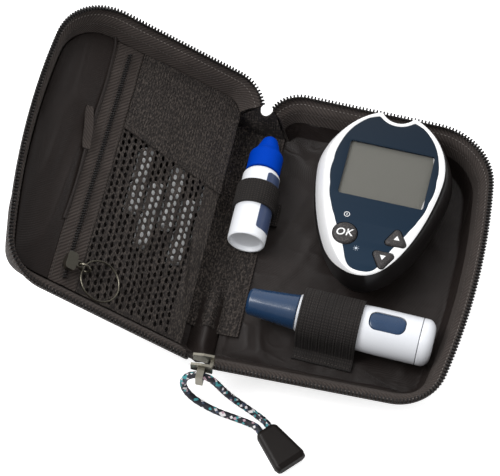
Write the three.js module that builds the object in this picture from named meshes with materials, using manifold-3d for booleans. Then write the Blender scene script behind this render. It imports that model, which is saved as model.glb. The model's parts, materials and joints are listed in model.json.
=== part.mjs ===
// Soft zip case for a blood glucose meter, lying open on a table with its contents.
// Millimetres, +Z up. The origin is the middle of the base half's flat underside.
// The hinge line of the case runs along Y; the base half lies on its +X side and
// the lid half, propped up at its rest angle, on its -X side.

import * as THREE from 'three';
import { mergeVertices } from 'three/addons/utils/BufferGeometryUtils.js';
import Module from 'manifold-3d';

const wasm = await Module();
wasm.setup();

const degree = Math.PI / 180;
const quarterTurn = 90 * degree;
const halfTurn = 180 * degree;
const fullTurn = 360 * degree;

// Clearances
const gap = 0.3;              // between pieces that touch or are sewn together
const overrun = 1;            // how far a cutting tool runs past what it cuts

// Case outline, seen from above, measured on the zip teeth
const meterSideRoom = 17.25;  // meter to the furthest teeth
const meterRearRoom = 5.9;    // meter to the rear teeth
const lancerFrontRoom = 26.9; // lancing device to the front teeth
const lancerEndRoom = 13.2;   // lancing device's end to the furthest teeth
const caseThickness = 46.4;   // both halves closed
const frontCornerRadius = 20;
const rearCornerRadius = 28;
const spineCornerRadius = 14;
const spineStart = 0.6;       // hinge line to the nearest edge of a half
const notchReach = 2.2;       // hinge line to the teeth where they end at the rear
const frontBowAngle = 12 * degree;
const rearBowAngle = 5 * degree;
const rearSlant = 2.5 * degree;
const spineCornerTurn = 73 * degree;
const spineEndShort = 1;      // the floors stop this much before the end of the teeth
const lidRestAngle = 33 * degree;
const arcStep = 12 * degree;  // one facet of a corner

// Padded shells and their linings
const shellWall = 2.2;
const shellFloor = 2;
const shellTopDrop = 6.5;     // shell's top edge below the parting plane
const shellTopShare = 0.55;   // wall thickness left at the top edge
const frontRun = 15;          // how far the front wall leans in
const rearRun = 8;
const spineRun = 7.5;
const sideRun = 9;            // how far the side leans in
const wallLeanPower = 3;      // how soon a corner takes over the side's lean
const wallHeightShares = [0, 0.1, 0.3, 0.6, 1];
const wallRunShares = [1, 0.86, 0.66, 0.45, 0.17];
const liningThickness = 0.8;

// Zip round the case
const tapeHeight = 9.9;       // upright reach of the tape under the teeth
const tapeThickness = 0.8;
const tapeFlat = 1;           // its straight edge
const chainWidth = 2.4;
const chainHeight = 1.7;
const chainDrop = 0.6;        // teeth below the parting plane
const lidChainStart = 7;      // the lid's teeth and tape keep clear of the slider

// Zip slider, with its bridge for the cord
const sliderLength = 9;
const sliderHeight = 6;
const sliderPlate = 1.1;
const sliderMouth = 3.4;      // between its two plates
const sliderTail = 4.2;       // plate height at the narrow end
const sliderWeb = 1.5;
const sliderPlace = -1;       // centre of the slider along X, zip open
const bridgeWidth = 3;
const bridgeReach = 4.8;
const bridgeWall = 1;
const bridgeTop = 0.9;        // above the parting plane
const bridgeHole = 4.4;

// Pull: a loop of cord and a moulded end
const cordDiameter = 3;
const cordSides = 8;
const cordSteps = 38;
const pullEndLength = 18.9;
const pullEndNearWidth = 9.5;
const pullEndFarWidth = 14.8;
const pullEndThickness = 5.8;
const pullEndLift = 0.2;
const pullEndTurn = -43 * degree;
const cordRoute = [           // from the moulded end, through the slider's bridge and back
  [26.7, -84.2, 3.1], [24.5, -82.15, 2.9], [20.8, -80.6, 2], [14.5, -79.3, 1.7], [8, -78.2, 1.7],
  [2, -76.6, 1.9], [-3, -75.3, 3.6], [-6.6, -74.2, 7.2], [-8.1, -73.4, 11.8], [-7.2, -72.9, 16.6],
  [-4.6, -72.7, 19.9], [-1, -72.6, 21], [2.6, -72.6, 19.9], [5.4, -72.7, 16.9], [8, -72.7, 12.4],
  [11, -72.7, 7.8], [14.6, -73.1, 4.3], [18.8, -74.2, 2.3], [23.4, -76.3, 2], [27.5, -78.95, 2.9],
  [29.7, -81, 3.1],
];
const pullEndShares = [       // place along it, width and thickness there
  [0, 0.88, 0.8], [0.07, 1, 1], [0.88, 1, 1], [1, 0.9, 0.72],
];
const pullEndChamferShare = 0.2;

// Spine panel
const spinePanelThickness = 1.2;
const spinePanelLift = 0.12;  // above the table
const spineHumpShare = 0.1;   // how far its middle is drawn in under the vial
const spineFrontHumpShare = 0.3;
const spineFacets = 6;

// Meter, seen from above: round at the top, drawn out towards the buttons
const meterSpineRoom = 14.65; // vial to meter
const meterFrontRoom = 2.8;   // lancing device to meter
const meterTurn = -2.2 * degree;
const meterWidth = 59.5;
const meterTopReach = 31;     // display centre to the top edge
const meterBottomReach = 52;  // display centre to the bottom edge
const meterBelly = 3;         // widest line above the display centre
const meterThickness = 23;
const meterBase = 6.2;        // underside above the table
const meterSplit = 9.8;       // underside to the joint between the housings
const meterWall = 1.8;
const meterNotchRadius = 7.6;
const meterNotchDepth = 3.5;
const meterTaperPower = 1.5;
const meterSides = 28;
const bottomHeightShares = [0, 0.15, 0.39, 0.7, 1];
const bottomInsetShares = [0.32, 0.23, 0.16, 0.085, 0.014];
const topHeightShares = [0, 0.3, 0.6, 0.83, 0.95, 1];
const topInsetShares = [0, 0.01, 0.045, 0.1, 0.148, 0.19];
const rearLeanShare = -0.25;  // how much of that inset its rear end takes: it overhangs
const frontLeanShare = 0.25;  // and its front end

// Face plate, window and display
const facePlateThickness = 1;
const facePlateSink = 0.2;
const facePlateFit = 0.6;     // measured from the middle, so the gap is left all round
const facePlateEdgeShares = [
  [0.31, 1], [0.55, 0.92], [0.8, 0.7], [0.955, 0.4], [1, 0.06], [0.95, -0.2], [0.84, -0.39],
  [0.72, -0.51], [0.6, -0.62], [0.47, -0.73], [0.37, -0.84], [0.31, -0.93], [0.2, -0.985], [0, -1],
];
const facePlateSideRoom = 7.45;    // meter's widest line to the plate
const facePlateEndRoom = 2.8;
const facePlateRearRoom = 2.2;
const facePlateNotchRim = 2.4;
const windowSideRoom = 3.85;  // plate's edge to the window, on average
const windowEndRoom = 17.25;  // meter's top edge to the window
const windowOffset = 1.1;     // to the right of the meter's middle
const windowCorner = 1.2;
const lensThickness = 0.8;
const displayMargin = 2.4;
const displayThickness = 2.2;

// Circuit board and what it carries
const boardThickness = 1.6;
const boardInset = 6.5;
const boardLift = 15.2;       // above the meter's underside
const padThickness = 0.8;
const padShare = 0.307;       // pad's rear edge, from the window to the meter's bottom edge
const bossRadius = 3;
const bossSides = 12;
const boreSides = 10;
const screwRadius = 1.1;
const screwHeadRadius = 2.1;
const screwHeadHeight = 1.4;
const screwSink = 3;          // heads above the meter's underside
const screwUpperSide = 17.75; // meter's side to the screw
const screwUpperRoom = 0.35;  // display to the screw's boss
const screwLowerSide = 15.25;
const screwLowerRoom = 1.85;  // display to the screw's boss
const portWidth = 9;
const portDepth = 6.4;
const portHeight = 2.3;
const portSlotWidth = 6.4;
const portSlotHeight = 1.2;

// Buttons
const buttonProud = 1;
const buttonTravel = 0.8;
const okButtonRadius = 5.2;
const okButtonSide = 19.9;    // meter's side to the button
const okButtonShare = 0.5;    // from the window to the meter's bottom edge
const arrowButtonReach = 6.4; // centre to a sharp corner, before rounding
const arrowButtonRound = 1.5;
const upButtonSide = 18.1;
const upButtonShare = 0.451;
const upButtonTurn = 92 * degree;
const downButtonSide = 21.75;
const downButtonShare = 0.718;
const downButtonTurn = -90 * degree;

// Coin cells and their door
const cellRadius = 10;
const cellThickness = 3.2;
const cellSpacing = 21;
const cellCentreV = -6;
const doorWidth = 23;
const doorLength = 42;
const doorThickness = 1.2;
const doorTravel = 3;         // along its thumb recess
const contactWidth = 6;
const contactThickness = 0.4;

// Cradle that holds the meter in the base
const cradleWall = 1;
const cradleHeight = 8;       // above the lining

// Control solution vial, lying along Y
const vialX = 3.3;
const vialFrontRoom = 18.1;   // lancing device to the vial's base
const vialZ = 13.2;
const vialRadius = 8.2;
const vialWall = 1.2;
const vialShoulder = 35.4;    // base to the shoulder
const vialRecess = 2;
const vialRecessRadius = 6.8;
const vialNeckRadius = 4.2;
const vialNeckLength = 7.6;
const vialBore = 2.6;
const vialCapRadius = 7.5;
const vialCapStep = 46.7;     // base to the cap's step
const vialTip = 54.2;         // base to the cap's tip
const vialTipRadius = 4.2;
const vialLoopStart = 15.8;   // base to the elastic loop
const vialLoopWidth = 11.4;
const elasticThickness = 1;
const vialLoopTab = 16;

// Lancing device, lying across the front of the base
const lancerX = 10.1;
const lancerY = -31;
const lancerZ = 14.2;
const lancerTurn = -3 * degree;
const lancerLength = 79.5;
const lancerRadius = 10;
const lancerFrontRadius = 8.2;
const lancerBore = 6.6;
const lancerCapLength = 21.5;
const lancerCapTipRadius = 5.6;
const lancerCapRadius = 7.5;
const lancerCapWall = 1.4;
const lancerCapNeckShare = 0.45;   // of its length, where it begins to widen
const lancerCapSwellShare = 0.52;
const lancerCapBoreShare = 0.4;
const lancetHole = 1.2;
const lancerRingLength = 2;
const lancerRingRadius = 7.9;
const lancerBodySwellShare = 0.7;  // of the body's length, where it is widest
const lancerSleeveLength = 5.7;
const sleeveEndShares = [[1, 0.6], [0.9, 0.2], [0.7, 0]];    // radius, length left to the end
const sleeveStemRadius = 5.2;
const sleeveStemLength = 12;
const plungerRadius = 2.6;
const plungerCollarRadius = 6.2;
const plungerCollarLength = 2;
const plungerCollarPlace = 34;
const plungerHolderRadius = 4.2;
const springWire = 1.2;
const fittedLancetLength = 19;
const fittedLancetRadius = 2.4;
const fittedLancetShares = [[0.7, 0.25], [1, 0.5]];  // radius, place along it
const needleShare = 0.2;      // how much of its length is needle
const needleRadius = 0.35;
const releaseLength = 15;
const releaseWidth = 8;
const releaseEndRoom = 20;    // centre to the device's rear end
const releaseDepth = 2.6;
const releaseSink = 0.25;
const releaseCornerShare = 0.4;
const strapStart = 23;
const strapWidth = 25.6;
const strapFoot = 5;

// Pocket in the lid
const pocketLevel = 10.2;     // underside of the pocket's front above the lid's floor
const pocketSheet = 0.8;
const pocketSpineEdge = 7;    // hinge line to the pocket's free edge
const pocketZipRoom = 38.1;   // pocket's zip to the furthest teeth
const pocketTapeWidth = 13;
const pocketChainWidth = 2.2;
const pocketChainHeight = 1.2;
const pocketChainMargin = 5;
const netRearRoom = 44.7;     // net to the rear teeth
const netColumns = 9;
const netRows = 14;
const netMargin = 2.4;
const netHoleWidthShare = 0.62;
const netHoleLengthShare = 0.8;
const flapOuterRoom = 47.8;   // its fold to the rear teeth, at the zip
const flapInnerRoom = 54.7;   // and at the spine
const flapThickness = 0.9;
const flapTapeGap = 2;        // lets the pull ring pass
const ribbonWidth = 4;
const ribbonLength = 20;
const ribbonThickness = 0.8;
const ribbonSideRoom = 28.9;
const ribbonRearRoom = 56.7;
const ribbonTurn = 11 * degree;

// Loose lancets in the pocket
const lancetLength = 31;
const lancetRadius = 2.6;
const lancetDiscRadius = 3.1;
const lancetDiscThickness = 2;
const lancetShares = [[0.8, 0], [1, 0.06], [1, 0.55], [0.55, 0.65], [0.55, 1]];  // radius, place
const lancetSpacing = 8.4;
const lancetSpineRoom = 2.4;
const lancetRearRoom = 26.5;  // middle of the row to the net's rear edge
const lancetStagger = 6.5;
const lancetCount = 5;

// Pocket slider, its small ring and the split ring
const pocketSliderLength = 8;
const pocketSliderWidth = 4.6;
const pocketSliderHeight = 2.2;
const pocketSliderRoom = 20.1;     // front teeth to the slider
const smallRingRadius = 2.5;
const ringWire = 1;
const splitRingRadius = 8.8;
const ringHeading = -10 * degree;
const ringTab = 2.8;          // the slider's tab for the small ring
const ringTabThickness = 1.1;
const ringSides = 24;
const wireSides = 6;

// Places that follow from the contents and the room they are given
const frontReach = lancerRadius + lancerFrontRoom - lancerY;
const meterX = vialX + vialRadius + meterSpineRoom + meterWidth / 2;
const meterY = lancerY + lancerRadius + meterFrontRoom + meterBottomReach;   // centre of the display
const vialY = lancerY + lancerRadius + vialFrontRoom;
const rearReach = meterY + meterTopReach + meterRearRoom;
const caseLength = frontReach + rearReach;
const caseReach = Math.max(meterX + meterWidth / 2 + meterSideRoom, lancerX + lancerLength + lancerEndRoom);
const facePlateHalfWidth = meterWidth / 2 - facePlateSideRoom;
const facePlateTop = meterTopReach - facePlateRearRoom;
const facePlateBottom = meterBottomReach - facePlateEndRoom;
const windowWidth = 2 * (facePlateHalfWidth - windowSideRoom);
const windowHeight = 2 * (meterTopReach - windowEndRoom);
const buttonField = meterBottomReach - windowHeight / 2;
const padTopV = -windowHeight / 2 - buttonField * padShare;
const okButtonU = okButtonSide - meterWidth / 2;
const okButtonV = -windowHeight / 2 - buttonField * okButtonShare;
const upButtonU = meterWidth / 2 - upButtonSide;
const upButtonV = -windowHeight / 2 - buttonField * upButtonShare;
const downButtonU = meterWidth / 2 - downButtonSide;
const downButtonV = -windowHeight / 2 - buttonField * downButtonShare;
const screwUpperU = meterWidth / 2 - screwUpperSide;
const screwUpperV = windowHeight / 2 + displayMargin + bossRadius + screwUpperRoom;
const screwLowerU = meterWidth / 2 - screwLowerSide;
const screwLowerV = -windowHeight / 2 - displayMargin - bossRadius - screwLowerRoom;
const releasePlace = lancerLength - releaseEndRoom;
const pocketZipLine = caseReach - pocketZipRoom;
const pocketSliderY = pocketSliderRoom - frontReach;
const netTop = rearReach - netRearRoom;
const flapFoldOuter = rearReach - flapOuterRoom;
const flapFoldInner = rearReach - flapInnerRoom;
const ribbonX = ribbonSideRoom - caseReach;
const ribbonY = rearReach - ribbonRearRoom;
const lancetFirstX = -pocketSpineEdge - lancetSpineRoom - (lancetCount - 1) * lancetSpacing;
const lancetY = netTop - lancetRearRoom;

// Derived levels of the case
const rimHeight = caseThickness / 2;
const wallTop = rimHeight - shellTopDrop;
const liningFloor = shellFloor + gap;
const floorTop = liningFloor + liningThickness;
const tapeTop = rimHeight - chainDrop - chainHeight - gap;
const tapeBottom = tapeTop - tapeHeight;
const liningTop = tapeBottom - gap;

const fabricBlack = { color: 0x2a2625, roughness: 0.92, metalness: 0 };
const satinBlack = { color: 0x332f2e, roughness: 0.6, metalness: 0 };
const meshBlack = { color: 0x2b2828, roughness: 0.85, metalness: 0 };
const zipBlack = { color: 0x1d1b1b, roughness: 0.5, metalness: 0 };
const elasticBlack = { color: 0x221f20, roughness: 0.9, metalness: 0 };
const sliderMetal = { color: 0x8b867a, roughness: 0.35, metalness: 1 };
const cordNavy = { color: 0x22242c, roughness: 0.8, metalness: 0 };
const mouldedBrown = { color: 0x231e1d, roughness: 0.45, metalness: 0 };
const silverPaint = { color: 0xc9ccd0, roughness: 0.3, metalness: 0.6 };
const glossBlack = { color: 0x1b191a, roughness: 0.2, metalness: 0 };
const navyPlate = { color: 0x24364d, roughness: 0.2, metalness: 0 };
const clearLens = { color: 0xb9bcb6, roughness: 0.05, metalness: 0 };
const displayGrey = { color: 0x7d7b72, roughness: 0.4, metalness: 0 };
const rubberGrey = { color: 0x3f3c3d, roughness: 0.7, metalness: 0 };
const boardGreen = { color: 0x1f5a3a, roughness: 0.6, metalness: 0 };
const steel = { color: 0xb4b6b8, roughness: 0.3, metalness: 1 };
const whitePlastic = { color: 0xe8e9ec, roughness: 0.4, metalness: 0 };
const capBlue = { color: 0x1f5fd0, roughness: 0.35, metalness: 0 };
const lancerNavy = { color: 0x1c2f4f, roughness: 0.25, metalness: 0 };

// Geometry helpers

// Turns a closed triangle soup outwards if its signed volume is negative.
function outward(geometry) {
  const place = geometry.getAttribute('position');
  let volume = 0;
  const a = new THREE.Vector3();
  const b = new THREE.Vector3();
  const c = new THREE.Vector3();
  for (let i = 0; i < place.count; i += 3) {
    a.fromBufferAttribute(place, i);
    b.fromBufferAttribute(place, i + 1);
    c.fromBufferAttribute(place, i + 2);
    volume += a.dot(b.cross(c));
  }
  if (volume < 0) {
    for (let i = 0; i < place.count; i += 3) {
      b.fromBufferAttribute(place, i + 1);
      c.fromBufferAttribute(place, i + 2);
      place.setXYZ(i + 1, c.x, c.y, c.z);
      place.setXYZ(i + 2, b.x, b.y, b.z);
    }
  }
  return geometry;
}

// A plain triangle soup of positions from any geometry.
function soup(geometry) {
  const plain = geometry.index ? geometry.toNonIndexed() : geometry;
  const result = new THREE.BufferGeometry();
  result.setAttribute('position', plain.getAttribute('position').clone());
  return outward(result);
}

// The normal of a flat ring of points, summed over its edges.
function ringNormal(ring) {
  const normal = new THREE.Vector3();
  ring.forEach((point, i) => {
    const next = ring[(i + 1) % ring.length];
    normal.x += (point.y - next.y) * (point.z + next.z);
    normal.y += (point.z - next.z) * (point.x + next.x);
    normal.z += (point.x - next.x) * (point.y + next.y);
  });
  return normal.normalize();
}

// Triangles that close a ring, facing along its normal.
function capTriangles(ring) {
  const normal = ringNormal(ring);
  const size = [Math.abs(normal.x), Math.abs(normal.y), Math.abs(normal.z)];
  const drop = size.indexOf(Math.max(...size));
  const flat = ring.map((p) => {
    if (drop === 0) return new THREE.Vector2(p.y, p.z);
    if (drop === 1) return new THREE.Vector2(p.z, p.x);
    return new THREE.Vector2(p.x, p.y);
  });
  const clockwise = THREE.ShapeUtils.isClockWise(flat);
  const order = flat.map((_, i) => (clockwise ? flat.length - 1 - i : i));
  const faces = THREE.ShapeUtils.triangulateShape(order.map((i) => flat[i]), []);
  return faces.map((face) => {
    const corners = face.map((i) => order[i]);
    return clockwise ? corners.reverse() : corners;
  });
}

// A closed body through rings of equal length, with both ends capped.
function loft(rings) {
  const points = [];
  const add = (a, b, c) => points.push(a, b, c);
  const first = rings[0];
  const last = rings[rings.length - 1];
  capTriangles(first).forEach(([a, b, c]) => add(first[c], first[b], first[a]));
  for (let r = 0; r + 1 < rings.length; r += 1) {
    const low = rings[r];
    const high = rings[r + 1];
    for (let i = 0; i < low.length; i += 1) {
      const j = (i + 1) % low.length;
      add(low[i], low[j], high[j]);
      add(low[i], high[j], high[i]);
    }
  }
  capTriangles(last).forEach(([a, b, c]) => add(last[a], last[b], last[c]));
  const geometry = new THREE.BufferGeometry();
  geometry.setFromPoints(points);
  return outward(geometry);
}

// A manifold solid from a closed geometry.
function solid(geometry) {
  const bare = mergeVertices(soup(geometry), 1e-5);
  const vertProperties = new Float32Array(bare.getAttribute('position').array);
  const triVerts = new Uint32Array(bare.index.array);
  return new wasm.Manifold(new wasm.Mesh({ numProp: 3, vertProperties, triVerts }));
}

// The geometry of a manifold solid.
function geometryOf(body) {
  const mesh = body.getMesh();
  const geometry = new THREE.BufferGeometry();
  geometry.setAttribute('position', new THREE.BufferAttribute(mesh.vertProperties, 3));
  geometry.setIndex(new THREE.BufferAttribute(mesh.triVerts, 1));
  return geometry.toNonIndexed();
}

function unite(...geometries) {
  return geometryOf(geometries.map(solid).reduce((all, one) => all.add(one)));
}

function cut(geometry, ...tools) {
  return geometryOf(tools.map(solid).reduce((rest, tool) => rest.subtract(tool), solid(geometry)));
}

function common(geometry, other) {
  return geometryOf(solid(geometry).intersect(solid(other)));
}

// A box between two corners.
function block(x0, x1, y0, y1, z0, z1) {
  const geometry = new THREE.BoxGeometry(x1 - x0, y1 - y0, z1 - z0);
  return geometry.translate((x0 + x1) / 2, (y0 + y1) / 2, (z0 + z1) / 2);
}

// An upright cylinder.
function drum(x, y, radius, z0, z1, sides = 20) {
  const geometry = new THREE.CylinderGeometry(radius, radius, z1 - z0, sides);
  return geometry.rotateX(quarterTurn).translate(x, y, (z0 + z1) / 2);
}

// A flat plate with the given outline and holes.
function plate(shape, z0, z1) {
  const options = { depth: z1 - z0, bevelEnabled: false, curveSegments: 2 };
  return soup(new THREE.ExtrudeGeometry(shape, options)).translate(0, 0, z0);
}

// A turned piece about the Y axis, from [radius, height] pairs.
function turned(profile, sides = 20) {
  return soup(new THREE.LatheGeometry(profile.map(([r, y]) => new THREE.Vector2(r, y)), sides));
}

// A closed ring of round wire in the XY plane.
function wireRing(radius, wire) {
  return soup(new THREE.TorusGeometry(radius, wire / 2, wireSides, ringSides));
}

// A rectangle with round corners, centred on a point.
function roundedRectangle(x, y, width, height, corner) {
  const shape = new THREE.Shape();
  const right = width / 2 - corner;
  const top = height / 2 - corner;
  shape.absarc(x + right, y + top, corner, 0, quarterTurn);
  shape.absarc(x - right, y + top, corner, quarterTurn, halfTurn);
  shape.absarc(x - right, y - top, corner, halfTurn, halfTurn + quarterTurn);
  shape.absarc(x + right, y - top, corner, halfTurn + quarterTurn, fullTurn);
  return shape;
}

// Straight-line interpolation in a table of rising places.
function between(places, values, place) {
  for (let i = 1; i < places.length; i += 1) {
    if (place <= places[i] || i === places.length - 1) {
      const share = (place - places[i - 1]) / (places[i] - places[i - 1]);
      return values[i - 1] + (values[i] - values[i - 1]) * share;
    }
  }
  return values[0];
}

// The same geometry on the other side of the hinge line.
function mirrored(geometry) {
  return outward(soup(geometry.clone().scale(-1, 1, 1)));
}

// Outline of a half: front edge, front corner, bowed side, rear corner, slanted rear
// edge and spine corner, as stations with a place and a heading.

const bowTurn = Math.sin(frontBowAngle) + Math.sin(rearBowAngle);
const endHeading = halfTurn - rearSlant + spineCornerTurn;
const rearSpan = caseReach - notchReach
  + rearCornerRadius * (Math.sin(rearSlant) - Math.cos(rearBowAngle))
  + spineCornerRadius * (Math.sin(endHeading) - Math.sin(rearSlant));
const bowRadius = (caseLength
  - frontCornerRadius * (1 - Math.sin(frontBowAngle))
  - rearCornerRadius * (Math.cos(rearSlant) - Math.sin(rearBowAngle))
  - spineCornerRadius * (1 - Math.cos(rearSlant))
  - rearSpan * Math.tan(rearSlant))
  / (bowTurn - (1 - Math.cos(rearBowAngle)) * Math.tan(rearSlant));
const rearEdge = (rearSpan - bowRadius * (1 - Math.cos(rearBowAngle))) / Math.cos(rearSlant);
const frontEdgeEnd = caseReach - frontCornerRadius * Math.cos(frontBowAngle)
  - bowRadius * (1 - Math.cos(frontBowAngle));

function rimStations(start) {
  const stations = [{ x: start, y: -frontReach, heading: 0 }];
  const here = { ...stations[0] };
  const straight = (length) => {
    here.x += length * Math.cos(here.heading);
    here.y += length * Math.sin(here.heading);
    stations.push({ ...here });
  };
  const bend = (radius, turn) => {
    const steps = Math.ceil(turn / arcStep);
    for (let i = 0; i < steps; i += 1) {
      const next = here.heading + turn / steps;
      here.x += radius * (Math.sin(next) - Math.sin(here.heading));
      here.y += radius * (Math.cos(here.heading) - Math.cos(next));
      here.heading = next;
      stations.push({ ...here });
    }
  };
  straight(frontEdgeEnd - start);
  bend(frontCornerRadius, quarterTurn - frontBowAngle);
  bend(bowRadius, frontBowAngle + rearBowAngle);
  bend(rearCornerRadius, quarterTurn - rearBowAngle - rearSlant);
  straight(rearEdge);
  bend(spineCornerRadius, spineCornerTurn);
  return stations;
}

// A point moved in from the outline by an inset.
function inset(station, amount, z) {
  const x = station.x - Math.sin(station.heading) * amount;
  const y = station.y + Math.cos(station.heading) * amount;
  return new THREE.Vector3(x, y, z);
}

// How far a wall leans in at a station, over its whole height.
function wallRun(station) {
  const lean = Math.abs(Math.cos(station.heading)) ** wallLeanPower;
  const run = station.heading < quarterTurn ? frontRun : rearRun;
  const side = station.heading < halfTurn ? sideRun : spineRun;
  return side + (run - side) * lean;
}

function outerInset(station, z) {
  return wallRun(station) * between(wallHeightShares, wallRunShares, z / wallTop);
}

function innerInset(station, z) {
  const share = 1 - (1 - shellTopShare) * Math.min(z / wallTop, 1);
  return outerInset(station, z) + shellWall * share;
}

// A ring round a half at one level; it closes along a line at spineX.
function halfRing(stations, insetAt, z, spineX, rearY) {
  const ring = stations.map((station) => inset(station, insetAt(station, z), z));
  ring.push(new THREE.Vector3(spineX, rearY ?? ring[ring.length - 1].y, z));
  if (spineX < 0) ring.push(new THREE.Vector3(spineX, ring[0].y, z));
  return ring;
}

// A tray that is open at the top and along the spine.
function tray(outer, inner, bottom, floor, top, rearY) {
  const stations = rimStations(spineStart);
  const bends = wallHeightShares.map((share) => share * wallTop);
  const outerLevels = [bottom, ...bends.filter((z) => z > bottom && z < top), top];
  const innerLevels = [floor, ...bends.filter((z) => z > floor && z < top), top];
  const body = loft(outerLevels.map((z) => halfRing(stations, outer, z, spineStart, rearY)));
  const rings = innerLevels.map((z) => halfRing(stations, inner, z, -overrun));
  const raised = rings[rings.length - 1].map((p) => new THREE.Vector3(p.x, p.y, p.z + overrun));
  return cut(body, loft([...rings, raised]));
}

function shellGeometry() {
  const rearY = rimStations(spineStart).pop().y - spineEndShort;
  return tray(outerInset, innerInset, 0, shellFloor, wallTop, rearY);
}

function liningGeometry() {
  const outer = (station, z) => innerInset(station, z) + gap;
  const inner = (station, z) => outer(station, z) + liningThickness;
  return tray(outer, inner, liningFloor, floorTop, liningTop);
}

// A band swept round the rim, from [inset, height] pairs worked out at each station.
function rimBand(start, section) {
  return loft(rimStations(start).map((station) => section(station).map(([i, z]) => inset(station, i, z))));
}

function tapeGeometry(start) {
  return rimBand(start, (station) => {
    const face = (z) => innerInset(station, z) + 2 * gap;
    const edge = -tapeThickness / 2;
    return [
      [edge, tapeTop], [edge, tapeTop - tapeFlat], [face(wallTop), wallTop], [face(tapeBottom), tapeBottom],
      [face(tapeBottom) + tapeThickness, tapeBottom], [face(wallTop) + tapeThickness, wallTop],
      [-edge, tapeTop - tapeFlat], [-edge, tapeTop],
    ];
  });
}

function chainGeometry(start) {
  const low = tapeTop + gap;
  const high = rimHeight - chainDrop;
  return rimBand(start, () => [
    [-chainWidth / 2, low], [-chainWidth / 2, high], [chainWidth / 2, high], [chainWidth / 2, low],
  ]);
}

// Spine panel: a strip between the two floors' edges, whose ends climb with the walls.
function spinePanelGeometry() {
  const front = { x: 0, y: -frontReach, heading: 0 };
  const last = rimStations(spineStart).pop();
  const rows = [];
  wallHeightShares.slice().reverse().forEach((share) => {
    const z = share * (wallTop - sliderPlate);
    rows.push({ y: -frontReach + outerInset(front, z), z });
  });
  rows.push({ y: vialY - gap - overrun, z: 0 });
  rows.push({ y: vialY + vialRadius, z: 0, rear: true });
  rows.push({ y: last.y - 2 * spineEndShort, z: 0, rear: true });
  rows.push({ y: last.y - spineEndShort, z: wallTop, rear: true });
  const rings = rows.map((row) => {
    const radius = rimHeight - row.z;
    const hump = row.rear ? spineHumpShare : spineFrontHumpShare;
    const upper = [];
    const lower = [];
    for (let i = 0; i <= spineFacets; i += 1) {
      const share = i / spineFacets;
      const angle = lidRestAngle * share;
      const reach = radius * (1 - hump * Math.sin(halfTurn * share)) - spinePanelLift;
      const place = (r) => new THREE.Vector3(-r * Math.sin(angle), row.y, rimHeight - r * Math.cos(angle));
      lower.push(place(reach));
      upper.unshift(place(reach - spinePanelThickness));
    }
    return [...lower, ...upper];
  });
  return loft(rings);
}

// Zip slider: two plates either side of the teeth, joined by a web in their gap, and a
// bridge on the outer plate for the cord.
function sliderGeometry() {
  const plateShape = new THREE.Shape([
    new THREE.Vector2(-sliderLength / 2, -sliderTail / 2),
    new THREE.Vector2(0, -sliderHeight / 2),
    new THREE.Vector2(sliderLength / 2, -sliderHeight / 2),
    new THREE.Vector2(sliderLength / 2, sliderHeight / 2),
    new THREE.Vector2(0, sliderHeight / 2),
    new THREE.Vector2(-sliderLength / 2, sliderTail / 2),
  ]);
  const upright = (y0) => {
    const geometry = plate(plateShape, 0, sliderPlate).rotateX(quarterTurn);
    return geometry.translate(0, y0 + sliderPlate, 0);
  };
  const web = block(sliderLength / 2 - sliderWeb, sliderLength / 2,
    -sliderMouth / 2 - sliderPlate / 2, sliderMouth / 2 + sliderPlate / 2, -chainDrop / 2, chainDrop / 2);
  const face = -sliderMouth / 2 - sliderPlate;
  const holeTop = bridgeTop - bridgeWall;
  const outer = block(-bridgeWidth / 2, bridgeWidth / 2, face - bridgeReach, face + sliderPlate / 2,
    holeTop - bridgeHole - bridgeWall, holeTop + bridgeWall);
  const hole = block(-bridgeWidth, bridgeWidth, face - bridgeReach + bridgeWall, face,
    holeTop - bridgeHole, holeTop);
  const body = unite(upright(-sliderMouth / 2 - sliderPlate), upright(sliderMouth / 2), web);
  return unite(body, cut(outer, hole)).translate(sliderPlace, -frontReach, rimHeight);
}

function cordGeometry() {
  const points = cordRoute.map(([x, y, z]) => new THREE.Vector3(x, y, z));
  const route = new THREE.CatmullRomCurve3(points, false, 'centripetal');
  const section = new THREE.Shape();
  for (let i = 0; i < cordSides; i += 1) {
    const angle = (fullTurn * i) / cordSides;
    const corner = [Math.cos(angle) * cordDiameter / 2, Math.sin(angle) * cordDiameter / 2];
    if (i === 0) section.moveTo(...corner);
    else section.lineTo(...corner);
  }
  return soup(new THREE.ExtrudeGeometry(section, { steps: cordSteps, extrudePath: route }));
}

// Moulded pull end: a flat wedge with chamfered edges, at the end of the cord.
function pullEndGeometry() {
  const chamfer = pullEndThickness * pullEndChamferShare;
  const rings = pullEndShares.map(([place, widthShare, thicknessShare]) => {
    const width = (pullEndNearWidth + (pullEndFarWidth - pullEndNearWidth) * place) * widthShare;
    const half = width / 2;
    const tall = (pullEndThickness * thicknessShare) / 2;
    const corners = [
      [half - chamfer, -tall], [half, chamfer - tall], [half, tall - chamfer], [half - chamfer, tall],
      [chamfer - half, tall], [-half, tall - chamfer], [-half, chamfer - tall], [chamfer - half, -tall],
    ];
    return corners.map(([side, z]) => new THREE.Vector3(place * pullEndLength, side, z));
  });
  const [first] = cordRoute;
  const last = cordRoute[cordRoute.length - 1];
  const middle = [(first[0] + last[0]) / 2, (first[1] + last[1]) / 2];
  const geometry = loft(rings).translate(gap, 0, 0).rotateZ(pullEndTurn);
  return geometry.translate(middle[0], middle[1], pullEndLift + pullEndThickness / 2);
}

// Meter

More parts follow.
